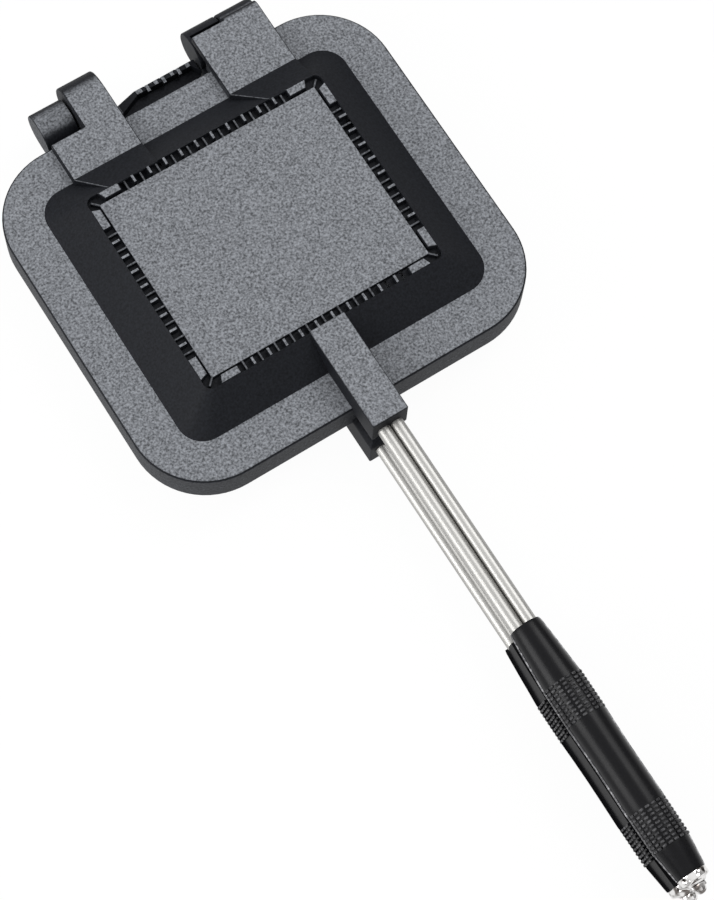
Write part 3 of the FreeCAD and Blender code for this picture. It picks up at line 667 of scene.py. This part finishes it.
def coating_with_painted_sheen():
    """Speckled non-stick coating: near black, with a light grain tone painted on as sheen
    where the faces are marked for it.
    """
    material, nodes, link, shader = new_material("coating_with_painted_sheen")
    place = nodes.new("ShaderNodeTexCoord")
    tilt = nodes.new("ShaderNodeMapping")
    tilt.inputs["Rotation"].default_value = GRAIN_TILT
    link(place.outputs["Object"], tilt.inputs["Vector"])
    grain = noise_on(nodes, link, tilt.outputs["Vector"], GRAIN_SCALE, detail=1.0)
    blotch = noise_on(nodes, link, tilt.outputs["Vector"], BLOTCH_SCALE, detail=1.0)
    mixed = nodes.new("ShaderNodeMix")
    mixed.data_type = "FLOAT"
    mixed.inputs["Factor"].default_value = BLOTCH_SHARE
    link(grain, mixed.inputs["A"])
    link(blotch, mixed.inputs["B"])
    speckle = mixed.outputs["Result"]
    sheen_tone = tone_on(nodes, link, speckle, PAINTED_SHEEN_TONES)
    dark = tone_on(nodes, link, speckle, DARK_GRAIN)
    # The marked share mixes the painted sheen into the near-black coat.
    color = color_mix(nodes, link, share_of(nodes, "painted_sheen_share"), dark, sheen_tone)
    link(color, shader.inputs["Base Color"])
    roughen(nodes, link, shader, speckle, strength=0.2, distance=0.08 * MM)
    shader.inputs["Roughness"].default_value = 0.6
    shader.inputs["Specular IOR Level"].default_value = 0.13
    return material


coating = coating_with_painted_sheen()
mark_painted_sheen(upper)
paint(upper, coating)
put_in_place(upper, "upper_casting", "upper_half", "upper_plate", False)

# The lower half is the same casting turned over. Its two knuckles hold the hinge pins, a round
# cut in its rim clears the big upper knuckle, and a scooped apron with a toothed lip lies
# between the knuckles. Across is measured with the half outside up, so left and right change.

LOWER_KNUCKLES = ((31.6 * MM, 44.4 * MM), (-30.3 * MM, -17.2 * MM))
PIN_HOLE_RADIUS = 2.52 * MM
PIN_HOLE_WALL = 0.78 * MM
PIN_HOLE_FACETS = 48
RELIEF = (16.9 * MM, 31.6 * MM)
RELIEF_CLEARANCE = 0.5 * MM
RELIEF_EDGE = 0.1 * MM
SLOT = ((-30.4 * MM, 77.7 * MM, -8.5 * MM), (-18.4 * MM, 79.8 * MM, -4.4 * MM))
SLOT_EDGE = 0.2 * MM
OVERRUN = 1 * MM
APRON_FRONT = 63 * MM
APRON_BACK = 75.2 * MM
APRON_LEFT = 15.4 * MM
APRON_RIGHT = -16.9 * MM
APRON_TOP = 0.45 * MM
APRON_UNDERSIDE = 5.4 * MM
APRON_EDGE = 0.5 * MM
APRON_CORNER_CUT = (8.4 * MM, 2.1 * MM)
SCOOP_FRONT = 62 * MM
SCOOP_BEND = 69.2 * MM
SCOOP_BACK = 73.3 * MM
SCOOP_LEFT = APRON_LEFT + 0.5 * MM
SCOOP_RIGHT = APRON_RIGHT - 0.3 * MM
SCOOP_FLOOR = 4.3 * MM
SCOOP_LEFT_CUT = 9.1 * MM
SCOOP_RIGHT_CUT = 2.4 * MM
NOTCH = (-10.9 * MM, -9.1 * MM)
NOTCH_REACH = 0.5 * MM
NOTCH_FLOOR = 3.6 * MM
NOTCH_EDGE = 0.3 * MM
NOTCH_PITCH = 6.3 * MM
NOTCHES = 3

# Each tooth on the lip has its place across, its width and where it starts.
LIP_TEETH = (
    (5.9 * MM, 2.4 * MM, 73.1 * MM),
    (2.6 * MM, 1.3 * MM, 72.1 * MM),
    (-0.9 * MM, 1.6 * MM, 73.1 * MM),
    (-3.8 * MM, 1.3 * MM, 72.1 * MM),
    (-7.4 * MM, 1.5 * MM, 73.1 * MM),
    (-10.0 * MM, 1.3 * MM, 72.1 * MM),
    (-13.8 * MM, 1.7 * MM, 73.1 * MM),
)
LIP_TOOTH_TOP = 0.12 * MM
LIP_TOOTH_ROOT = 2 * MM
LIP_TOOTH_INSET = 0.35 * MM
LIP_TOOTH_EDGE = 0.1 * MM


def lower_knuckle(span):
    """A barrel with the neck that joins it to the rim."""
    neck = block((span[0], NECK_FRONT, NECK_FLOOR),
                 (span[1], HINGE_OFFSET, SMALL_KNUCKLE - HALF_GAP))
    soften(neck, ARM_EDGE)
    weld(neck, barrel(span, SMALL_KNUCKLE))
    return neck


def pin_hole(span):
    """The blind hole in a knuckle, as a cutter, open on the side of the upper knuckle."""
    return hinge_cylinder(span[0] - OVERRUN, span[1] - PIN_HOLE_WALL, PIN_HOLE_RADIUS,
                          PIN_HOLE_FACETS)


def push_corner(side, back, step):
    """In edit mode, moves the upright edge at a side and a back along the width."""
    choose("VERT", lambda place: near(place.y, back) and near(place.x, side))
    bpy.ops.transform.translate(value=(step, 0, 0))


def apron():
    """A tray between the knuckles, scooped out, with small teeth and notches on its back lip."""
    tray = block((APRON_RIGHT, APRON_FRONT, APRON_TOP), (APRON_LEFT, APRON_BACK, APRON_UNDERSIDE))
    bpy.ops.object.mode_set(mode="EDIT")
    bpy.ops.mesh.select_all(action="SELECT")
    bpy.ops.mesh.bisect(plane_co=(0, APRON_BACK - APRON_CORNER_CUT[1], 0), plane_no=(0, 1, 0))
    push_corner(APRON_LEFT, APRON_BACK, -APRON_CORNER_CUT[0])
    bpy.ops.object.mode_set(mode="OBJECT")
    soften(tray, APRON_EDGE, segments=3)
    scoop = block((SCOOP_RIGHT, SCOOP_FRONT, -OVERRUN), (SCOOP_LEFT, SCOOP_BACK, SCOOP_FLOOR))
    bpy.ops.object.mode_set(mode="EDIT")
    bpy.ops.mesh.select_all(action="SELECT")
    bpy.ops.mesh.bisect(plane_co=(0, SCOOP_BEND, 0), plane_no=(0, 1, 0))
    push_corner(SCOOP_LEFT, SCOOP_BACK, -SCOOP_LEFT_CUT)
    push_corner(SCOOP_RIGHT, SCOOP_BACK, SCOOP_RIGHT_CUT)
    bpy.ops.object.mode_set(mode="OBJECT")
    carve(tray, scoop)
    notch = block((NOTCH[0], APRON_BACK - NOTCH_REACH, -OVERRUN),
                  (NOTCH[1], APRON_BACK + OVERRUN, NOTCH_FLOOR))
    soften(notch, NOTCH_EDGE)
    row(notch, NOTCHES, (NOTCH_PITCH, 0, 0))
    carve(tray, notch)
    for across, width, near_end in LIP_TEETH:
        tooth = block((across - width / 2, near_end, LIP_TOOTH_TOP),
                      (across + width / 2, APRON_BACK - LIP_TOOTH_INSET, LIP_TOOTH_ROOT))
        soften(tooth, LIP_TOOTH_EDGE)
        weld(tray, tooth)
    return tray


lower = cast_pan("lower_casting")
carve(lower, barrel(RELIEF, BIG_KNUCKLE + RELIEF_CLEARANCE, RELIEF_EDGE))
weld(lower, handle_lug())
weld(lower, apron())
for span in LOWER_KNUCKLES:
    weld(lower, lower_knuckle(span))
    carve(lower, pin_hole(span))
slot = block(*SLOT)
soften(slot, SLOT_EDGE)
carve(lower, slot)
weld(lower, tooth_frame(), many=True)
mark_painted_sheen(lower)
paint(lower, coating)
put_in_place(lower, "lower_casting", "lower_half", "lower_plate", True)

# The two hinge pins are ground steel, pressed into the lower knuckles and free to turn in the
# upper ones. The tie studs, hidden in the grips between the rods and the cap nuts, are the same
# steel. All four are the CAD's own solids.

PIN_TONES = ((0.0, (0.34, 0.34, 0.35)), (1.0, (0.52, 0.52, 0.53)))
WEAR_SCALE = 600

pin_steel, nodes, link, shader = new_material("pin_steel")
place = nodes.new("ShaderNodeTexCoord")
wear = noise_on(nodes, link, place.outputs["Object"], WEAR_SCALE)
link(range_on(nodes, link, wear, low=0.22, high=0.42), shader.inputs["Roughness"])
link(tone_on(nodes, link, wear, PIN_TONES), shader.inputs["Base Color"])
shader.inputs["Metallic"].default_value = 1.0
for name in ("hinge_pin_left", "hinge_pin_right", "upper_tie_stud", "lower_tie_stud"):
    paint(frame["nodes"][name], pin_steel)

# Each handle has two steel rods side by side, fixed in the lug and run through the grip. They are
# drawn bar with a satin shine and faint lines along them.

ROD_RADIUS = 2.4 * MM
ROD_FROM_MIDDLE = 2.43 * MM
ROD_HEIGHT = 9.0 * MM
ROD_START = -50 * MM
ROD_END = -249 * MM
ROD_FACETS = 64
ROD_EDGE = 0.4 * MM
ROD_TONES = ((0.35, (0.385, 0.38, 0.366)), (0.65, (0.475, 0.47, 0.455)))
DRAWN_LINES = (1500, 10, 1500)


def drawn_steel():
    """Bright steel with a soft gloss and faint lines drawn along the bar."""
    material, nodes, link, shader = new_material("rod_steel")
    place = nodes.new("ShaderNodeTexCoord")
    stretch = nodes.new("ShaderNodeMapping")
    stretch.inputs["Scale"].default_value = DRAWN_LINES
    link(place.outputs["Object"], stretch.inputs["Vector"])
    lines = noise_on(nodes, link, stretch.outputs["Vector"], scale=1.0)
    link(tone_on(nodes, link, lines, ROD_TONES), shader.inputs["Base Color"])
    shader.inputs["Metallic"].default_value = 1.0
    shader.inputs["Roughness"].default_value = 0.46
    return material


rod_steel = drawn_steel()
HALVES = (("upper", "upper_half", False), ("lower", "lower_half", True))
for half, body, turned_over in HALVES:
    for hand, side in (("left", -1), ("right", 1)):
        across = -side if turned_over else side
        deselect()
        bpy.ops.mesh.primitive_cylinder_add(
            vertices=ROD_FACETS, radius=ROD_RADIUS, depth=ROD_START - ROD_END,
            location=(across * ROD_FROM_MIDDLE, (ROD_START + ROD_END) / 2, ROD_HEIGHT),
            rotation=(math.pi / 2, 0, 0))
        rod = settle()
        soften(rod, ROD_EDGE, segments=3)
        paint(rod, rod_steel)
        put_in_place(rod, f"{half}_rod_bar_{hand}", body, f"{half}_rod_{hand}", turned_over)

# The grips are black moulded plastic, slid over the rods: round outside, flat where the two
# handles face each other, fuller in the middle, with two bands of small raised bars that keep the
# hand from slipping.

GRIP_START = -160.2 * MM
GRIP_LENGTH = 94 * MM
GRIP_HALF = 7.2 * MM
GRIP_HEIGHT = 9.85 * MM
GRIP_FLAT = 2.8 * MM
GRIP_FLAT_SHARE = 0.78
GRIP_EDGE = 0.03 * MM
ROUND_FACETS = 48
FLANK_STEPS = 4
MERGE_WITHIN = 0.001 * MM

# Each section has its place along the grip and its width, as shares of the length and the half.
GRIP_SHARES = (
    (0.0, 0.735), (0.012, 0.765), (0.05, 0.80), (0.11, 0.85), (0.16, 0.885), (0.222, 0.935),
    (0.232, 0.925), (0.30, 0.945), (0.374, 0.935), (0.384, 0.948), (0.45, 0.925), (0.53, 0.91),
    (0.62, 0.915), (0.728, 0.93), (0.738, 0.915), (0.81, 0.905), (0.886, 0.865), (0.896, 0.872),
    (0.95, 0.79), (0.99, 0.73), (1.0, 0.71),
)
SEAM_REACH = 0.5 * MM
SEAM_THICKNESS = 0.3 * MM
SEAM_BAND = 0.07 * MM
# Shares of the pale tone, painted on as a highlight along the seam ridge and as glints on the bars.
SEAM_PAINTED_HIGHLIGHT = 1.0
BAR_PAINTED_GLINT = 0.14
BAR_HALF = 0.85 * MM
BAR_NEAR_END = 0.2 * MM
BAR_FAR_END = 1.1 * MM
BAR_BURIED = 0.6 * MM
BAR_RISE = 0.36 * MM
BAR_ROUND = 0.36 * MM
BAR_BANDS = ((0.228, 0.965), (0.736, 0.925))
BARS_ALONG = 10
BAR_PITCH = 1.46 * MM
BAR_COLUMNS = 10
OUTER_FAN = math.radians(86)
FLANK_COLUMNS = 3
FLANK_PITCH = 2.15 * MM
FLANK_LEAN = math.atan((1 - GRIP_FLAT_SHARE) * GRIP_HALF / (GRIP_HEIGHT - GRIP_FLAT))
GRIP_BLACK = ((0.0, (0.002, 0.002, 0.0025)), (1.0, (0.006, 0.006, 0.0075)))
GRIP_PAINTED_GLINT_TONES = ((0.42, (0.17, 0.17, 0.18)), (0.66, (0.60, 0.60, 0.62)))
GRIP_GRAIN_SCALE = 1400
GLINT_SCALE = 820


def disc(radius, along):
    """A round face across the handle."""
    deselect()
    bpy.ops.mesh.primitive_circle_add(
        vertices=ROUND_FACETS, radius=radius, fill_type="NGON",
        location=(0, along, GRIP_HEIGHT), rotation=(math.pi / 2, 0, 0))
    return settle()


def grip_shell():
    """The grip's body: a closed outline drawn out along the handle, section by section."""
    grip = disc(GRIP_HALF, GRIP_START)
    bpy.ops.object.mode_set(mode="EDIT")
    bpy.ops.mesh.select_all(action="SELECT")
    bpy.ops.mesh.bisect(plane_co=(0, 0, GRIP_HEIGHT), plane_no=(0, 0, 1), clear_inner=True)
    choose("EDGE", lambda place: near(place.z, GRIP_HEIGHT))
    bpy.ops.mesh.extrude_edges_move()
    bpy.ops.transform.resize(value=(1 + SEAM_REACH / GRIP_HALF, 1, 1),
                             center_override=(0, GRIP_START, 0))
    bpy.ops.mesh.extrude_edges_move(TRANSFORM_OT_translate={"value": (0, 0, -SEAM_THICKNESS)})
    bpy.ops.mesh.extrude_edges_move()
    bpy.ops.transform.resize(value=(1 - 2 * SEAM_REACH / GRIP_HALF, 1, 1),
                             center_override=(0, GRIP_START, 0))
    for step in range(FLANK_STEPS):
        bpy.ops.mesh.extrude_edges_move(
            TRANSFORM_OT_translate={"value": (0, 0, (GRIP_FLAT - GRIP_HEIGHT) / FLANK_STEPS)})
        narrowing = 1 - (1 - GRIP_FLAT_SHARE) * (step + 1) / FLANK_STEPS
        before = 1 - (1 - GRIP_FLAT_SHARE) * step / FLANK_STEPS
        bpy.ops.transform.resize(value=(narrowing / before, 1, 1),
                                 center_override=(0, GRIP_START, 0))
    bpy.ops.mesh.select_all(action="SELECT")
    bpy.ops.mesh.remove_doubles(threshold=MERGE_WITHIN)
    width = GRIP_SHARES[0][1]
    bpy.ops.transform.resize(value=(width, 1, width), center_override=(0, 0, GRIP_HEIGHT))
    last_along = 0.0
    last_width = width
    for along, width in GRIP_SHARES[1:]:
        bpy.ops.mesh.extrude_region_move(
            TRANSFORM_OT_translate={"value": (0, -(along - last_along) * GRIP_LENGTH, 0)})
        bpy.ops.transform.resize(value=(width / last_width, 1, width / last_width),
                                 center_override=(0, 0, GRIP_HEIGHT))
        last_along = along
        last_width = width
    bpy.ops.mesh.select_all(action="SELECT")
    bpy.ops.mesh.normals_make_consistent(inside=False)
    bpy.ops.object.mode_set(mode="OBJECT")
    soften(grip, GRIP_EDGE)
    # The seam ridge's top gets a painted highlight line.
    mark_painted_glint(grip, SEAM_PAINTED_HIGHLIGHT, lambda face: abs(face.center.z - GRIP_HEIGHT) < SEAM_BAND
              and face.normal.z > 0.5 and abs(face.normal.y) < 0.5)
    return grip


def mark_painted_glint(part, share, test):
    """Stores how much of the pale tone, painted on as a highlight or glint, shows on the faces
    that pass a test.
    """
    shares = []
    for face in part.data.polygons:
        shares += [share if test(face) else 0.0] * face.loop_total
    glint_paint = part.data.attributes.new("painted_glint_share", "FLOAT", "CORNER")
    glint_paint.data.foreach_set("value", shares)


def grip_bars(start_share, width_share):
    """One band of raised bars round the outside of the grip."""
    start = GRIP_START - start_share * GRIP_LENGTH
    radius = GRIP_HALF * width_share
    bar = block((-BAR_HALF, start - BAR_FAR_END, radius - BAR_BURIED),
                (BAR_HALF, start - BAR_NEAR_END, radius + BAR_RISE))
    soften(bar, BAR_ROUND, segments=3)
    # The bar tops get painted glints.
    mark_painted_glint(bar, BAR_PAINTED_GLINT, lambda face: face.center.z > radius)
    row(bar, BARS_ALONG, (0, -BAR_PITCH, 0))
    turns = [(OUTER_FAN - 2 * OUTER_FAN * number / (BAR_COLUMNS - 1), 0)
             for number in range(BAR_COLUMNS)]
    for side in (-1, 1):
        turns += [(side * (math.pi / 2 + FLANK_LEAN), step) for step in range(FLANK_COLUMNS)]
    columns = []
    for turn, step in turns:
        take(bar)
        bpy.ops.object.duplicate()
        column = bpy.context.object
        bpy.ops.object.mode_set(mode="EDIT")
        bpy.ops.mesh.select_all(action="SELECT")
        bpy.ops.transform.rotate(value=turn, orient_axis="Y", center_override=(0, 0, 0))
        if abs(turn) > math.pi / 2:
            mesh = bmesh.from_edit_mesh(column.data)
            mesh.verts.ensure_lookup_table()
            side = math.copysign(1, mesh.verts[0].co.x)
            inward = radius * (1 - math.cos(FLANK_LEAN))
            down = step * FLANK_PITCH
            bpy.ops.transform.translate(value=(
                -side * (inward * math.cos(FLANK_LEAN) + down * math.sin(FLANK_LEAN)), 0,
                inward * math.sin(FLANK_LEAN) - down * math.cos(FLANK_LEAN)))
        bpy.ops.transform.translate(value=(0, 0, GRIP_HEIGHT))
        bpy.ops.object.mode_set(mode="OBJECT")
        columns.append(column)
    bpy.data.objects.remove(bar)
    return columns


def moulded_black():
    """Satin black plastic with a faint grain, and painted glints, patchy and pale, on the seam and
    the bars.
    """
    material, nodes, link, shader = new_material("grip_black")
    place = nodes.new("ShaderNodeTexCoord")
    grain = noise_on(nodes, link, place.outputs["Object"], GRIP_GRAIN_SCALE)
    link(range_on(nodes, link, grain, low=0.27, high=0.35), shader.inputs["Roughness"])
    roughen(nodes, link, shader, grain, strength=0.07, distance=0.05 * MM)
    black = tone_on(nodes, link, grain, GRIP_BLACK)
    # The painted glints: a patchy pale tone that stands in for highlights on the marked faces.
    glints = noise_on(nodes, link, place.outputs["Object"], GLINT_SCALE)
    glint_paint = tone_on(nodes, link, glints, GRIP_PAINTED_GLINT_TONES)
    color = color_mix(nodes, link, share_of(nodes, "painted_glint_share"), black, glint_paint)
    link(color, shader.inputs["Base Color"])
    shader.inputs["Specular IOR Level"].default_value = 0.15
    return material


grip_black = moulded_black()
for half, body, turned_over in HALVES:
    parts = [grip_shell()]
    for start_share, width_share in BAR_BANDS:
        parts += grip_bars(start_share, width_share)
    grip = gather(parts)
    paint(grip, grip_black)
    put_in_place(grip, f"{half}_moulded_grip", body, f"{half}_grip", turned_over)

# Behind each grip a chromed steel cap tapers down to a small domed nut, which screws on the tie
# stud between the rods and so clamps the grip.

CAP_START = -254.3 * MM
COLLAR_END = -256.7 * MM
CAP_END = -258.2 * MM
CAP_HALF = 5.2 * MM
CAP_EDGE = 0.3 * MM
TAPER_SHARES = (0.72, 0.8)
NUT_HALF = 2.5 * MM
NUT_LENGTH = 1.3 * MM
NUT_EDGE = 0.2 * MM
DOME_RADIUS = 2.2 * MM
DOME_HEIGHT = 1.9 * MM
CHROME_PAINTED_REFLECTIONS = ((0.38, (0.14, 0.125, 0.115)), (0.56, (0.80, 0.79, 0.78)))
WAVE_SCALE = 420


def end_cap():
    """A collar with the grip's outline, drawn in to the nut."""
    cap = disc(CAP_HALF, CAP_START)
    bpy.ops.object.mode_set(mode="EDIT")
    choose("VERT", lambda place: place.z < GRIP_HEIGHT - SAME_PLACE)
    bpy.ops.transform.resize(value=(1, 1, (GRIP_HEIGHT - GRIP_FLAT) / CAP_HALF),
                             center_override=(0, CAP_START, GRIP_HEIGHT))
    bpy.ops.mesh.select_all(action="SELECT")
    bpy.ops.mesh.extrude_region_move(
        TRANSFORM_OT_translate={"value": (0, COLLAR_END - CAP_START, 0)})
    for share, sink in zip(TAPER_SHARES, (ROD_HEIGHT - GRIP_HEIGHT, 0)):
        bpy.ops.mesh.extrude_region_move(
            TRANSFORM_OT_translate={"value": (0, (CAP_END - COLLAR_END) / 2, sink)})
        bpy.ops.transform.resize(value=(share, 1, share), center_override=(0, 0, ROD_HEIGHT))
    bpy.ops.mesh.select_all(action="SELECT")
    bpy.ops.mesh.normals_make_consistent(inside=False)
    bpy.ops.object.mode_set(mode="OBJECT")
    soften(cap, CAP_EDGE, segments=3)
    return cap


def cap_nut():
    """A hexagon with a dome on it."""
    deselect()
    bpy.ops.mesh.primitive_cylinder_add(
        vertices=6, radius=NUT_HALF / math.cos(math.pi / 6), depth=NUT_LENGTH,
        location=(0, CAP_END - NUT_LENGTH / 2, ROD_HEIGHT), rotation=(math.pi / 2, 0, 0))
    hexagon = settle()
    soften(hexagon, NUT_EDGE)
    deselect()
    bpy.ops.mesh.primitive_uv_sphere_add(
        segments=32, ring_count=16, radius=DOME_RADIUS,
        location=(0, CAP_END - NUT_LENGTH, ROD_HEIGHT), rotation=(math.pi / 2, 0, 0))
    bpy.context.object.scale = (1, 1, DOME_HEIGHT / DOME_RADIUS)
    weld(hexagon, settle())
    return hexagon


def chrome():
    """Bright plating with wavy bumps, and dark and bright patches painted into its colour as
    reflections.
    """
    material, nodes, link, shader = new_material("cap_chrome")
    place = nodes.new("ShaderNodeTexCoord")
    waves = noise_on(nodes, link, place.outputs["Object"], WAVE_SCALE, detail=1.0)
    roughen(nodes, link, shader, waves, strength=0.7, distance=0.5 * MM)
    # Dark and bright patches painted into the colour, standing in for reflections.
    link(tone_on(nodes, link, waves, CHROME_PAINTED_REFLECTIONS), shader.inputs["Base Color"])
    shader.inputs["Metallic"].default_value = 1.0
    shader.inputs["Roughness"].default_value = 0.07
    return material


cap_chrome = chrome()
for half, body, turned_over in HALVES:
    for kind, make in (("end_cap", end_cap), ("cap_nut", cap_nut)):
        piece = make()
        paint(piece, cap_chrome)
        put_in_place(piece, f"{half}_chrome_{kind}", body, f"{half}_{kind}", turned_over)

# The studio: a white floor that keeps a faint shadow, two broad soft lamps, low on the left and
# high on the right, and a white tent with one grey panel at the right and a dark skirting above
# the floor, which draw the dark lines in the bright metal.

FLOOR_SIZE = 6
FLOOR_WHITE = (0.9, 0.9, 0.9, 1)
FLOOR_GLOW_SHARE = 0.96

# Each stop of the panels has its place from left to right and a grey level.
PANELS = (
    (0.0, 0.9), (0.40, 1.0), (0.70, 1.0), (0.735, 0.22), (0.77, 0.32), (0.95, 0.42), (1.0, 0.9),
)
SKIRTING = ((0.0, (0.12, 0.12, 0.12)), (0.17, (0.16, 0.15, 0.14)), (0.26, (1, 1, 1)))

# Each lamp has its name, place, width, length and power. Both look at the middle of the floor.
LAMPS = (
    ("left_lamp", (-1.33, 0.20, 0.58), 0.45, 1.0, 10),
    ("right_lamp", (0.85, 0.22, 1.32), 0.45, 0.92, 9),
)

deselect()
bpy.ops.mesh.primitive_plane_add(size=FLOOR_SIZE, location=(0, 0, 0))
floor = bpy.context.object
floor.name = "studio_floor"
floor_paint, nodes, link, shader = new_material("floor_paint")
shader.inputs["Base Color"].default_value = FLOOR_WHITE
shader.inputs["Roughness"].default_value = 1.0
shader.inputs["Specular IOR Level"].default_value = 0.0
rays = nodes.new("ShaderNodeLightPath")
seen = rays.outputs["Is Camera Ray"]
for kind in ("Is Glossy Ray", "Is Transmission Ray"):
    either = nodes.new("ShaderNodeMath")
    either.operation = "MAXIMUM"
    link(seen, either.inputs[0])
    link(rays.outputs[kind], either.inputs[1])
    seen = either.outputs["Value"]
glow_share = nodes.new("ShaderNodeMath")
glow_share.operation = "MULTIPLY"
glow_share.inputs[1].default_value = FLOOR_GLOW_SHARE
link(seen, glow_share.inputs[0])
glow = nodes.new("ShaderNodeEmission")
glow.inputs["Strength"].default_value = 1.0
blend = nodes.new("ShaderNodeMixShader")
link(glow_share.outputs["Value"], blend.inputs["Fac"])
link(shader.outputs["BSDF"], blend.inputs[1])
link(glow.outputs["Emission"], blend.inputs[2])
link(blend.outputs["Shader"], nodes["Material Output"].inputs["Surface"])
paint(floor, floor_paint)

world = bpy.data.worlds.new("studio_world")
bpy.context.scene.world = world
world.use_nodes = True
nodes = world.node_tree.nodes
link = world.node_tree.links.new
place = nodes.new("ShaderNodeTexCoord")
split = nodes.new("ShaderNodeSeparateXYZ")
link(place.outputs["Generated"], split.inputs["Vector"])
across = nodes.new("ShaderNodeMapRange")
across.inputs["From Min"].default_value = -1
link(split.outputs["X"], across.inputs["Value"])
greys = [(position, (level, level, level)) for position, level in PANELS]
tent = nodes.new("ShaderNodeMix")
tent.data_type = "RGBA"
tent.blend_type = "MULTIPLY"
tent.inputs["Factor"].default_value = 1.0
link(tone_on(nodes, link, across.outputs["Result"], greys), tent.inputs["A"])
link(tone_on(nodes, link, split.outputs["Z"], SKIRTING), tent.inputs["B"])
rays = nodes.new("ShaderNodeLightPath")
seen = nodes.new("ShaderNodeMix")
seen.data_type = "RGBA"
seen.inputs["B"].default_value = (1, 1, 1, 1)
link(rays.outputs["Is Camera Ray"], seen.inputs["Factor"])
link(tent.outputs["Result"], seen.inputs["A"])
link(seen.outputs["Result"], nodes["Background"].inputs["Color"])

for name, place, width, length, power in LAMPS:
    lamp_data = bpy.data.lights.new(name, "AREA")
    lamp_data.shape = "RECTANGLE"
    lamp_data.size = width
    lamp_data.size_y = length
    lamp_data.energy = power
    lamp = bpy.data.objects.new(name, lamp_data)
    bpy.context.scene.collection.objects.link(lamp)
    lamp.location = place
    lamp.rotation_euler = (-Vector(place)).to_track_quat("-Z", "Y").to_euler()

# The camera stands high on the handle side, a little to the left, as in the photograph. It was
# fitted to the corners of the plate: these are its place, its axes and its field of view.

CAMERA_AZIMUTH = math.radians(-36.856)
CAMERA_ELEVATION = math.radians(70.865)
CAMERA_ROLL = math.radians(4.851)
CAMERA_SHIFT_X = -31.518 * MM
CAMERA_SHIFT_Y = 71.181 * MM
CAMERA_DISTANCE = 865.285 * MM
FOCAL_PIXELS = 2547.65
PHOTO_HEIGHT_PIXELS = 900
SENSOR = 36.0
RIM_ABOVE_FLOOR = 24.43 * MM

back = Vector((math.sin(CAMERA_AZIMUTH) * math.cos(CAMERA_ELEVATION),
               -math.cos(CAMERA_AZIMUTH) * math.cos(CAMERA_ELEVATION),
               math.sin(CAMERA_ELEVATION)))
level_right = Vector((math.cos(CAMERA_AZIMUTH), math.sin(CAMERA_AZIMUTH), 0))
level_up = back.cross(level_right)
right = level_right * math.cos(CAMERA_ROLL) + level_up * math.sin(CAMERA_ROLL)
up = level_up * math.cos(CAMERA_ROLL) - level_right * math.sin(CAMERA_ROLL)
eye = back * CAMERA_DISTANCE - right * CAMERA_SHIFT_X - up * CAMERA_SHIFT_Y
eye += Vector((0, MIDDLE_Y, RIM_ABOVE_FLOOR))
camera_data = bpy.data.cameras.new("camera")
camera_data.sensor_width = SENSOR
camera_data.lens = FOCAL_PIXELS / PHOTO_HEIGHT_PIXELS * SENSOR
camera_data.clip_start = 10 * MM
camera = bpy.data.objects.new("camera", camera_data)
bpy.context.scene.collection.objects.link(camera)
camera.matrix_world = Matrix((
    (right.x, up.x, back.x, eye.x),
    (right.y, up.y, back.y, eye.y),
    (right.z, up.z, back.z, eye.z),
    (0, 0, 0, 1),
))
bpy.context.scene.camera = camera
bpy.context.scene.view_settings.view_transform = "Standard"
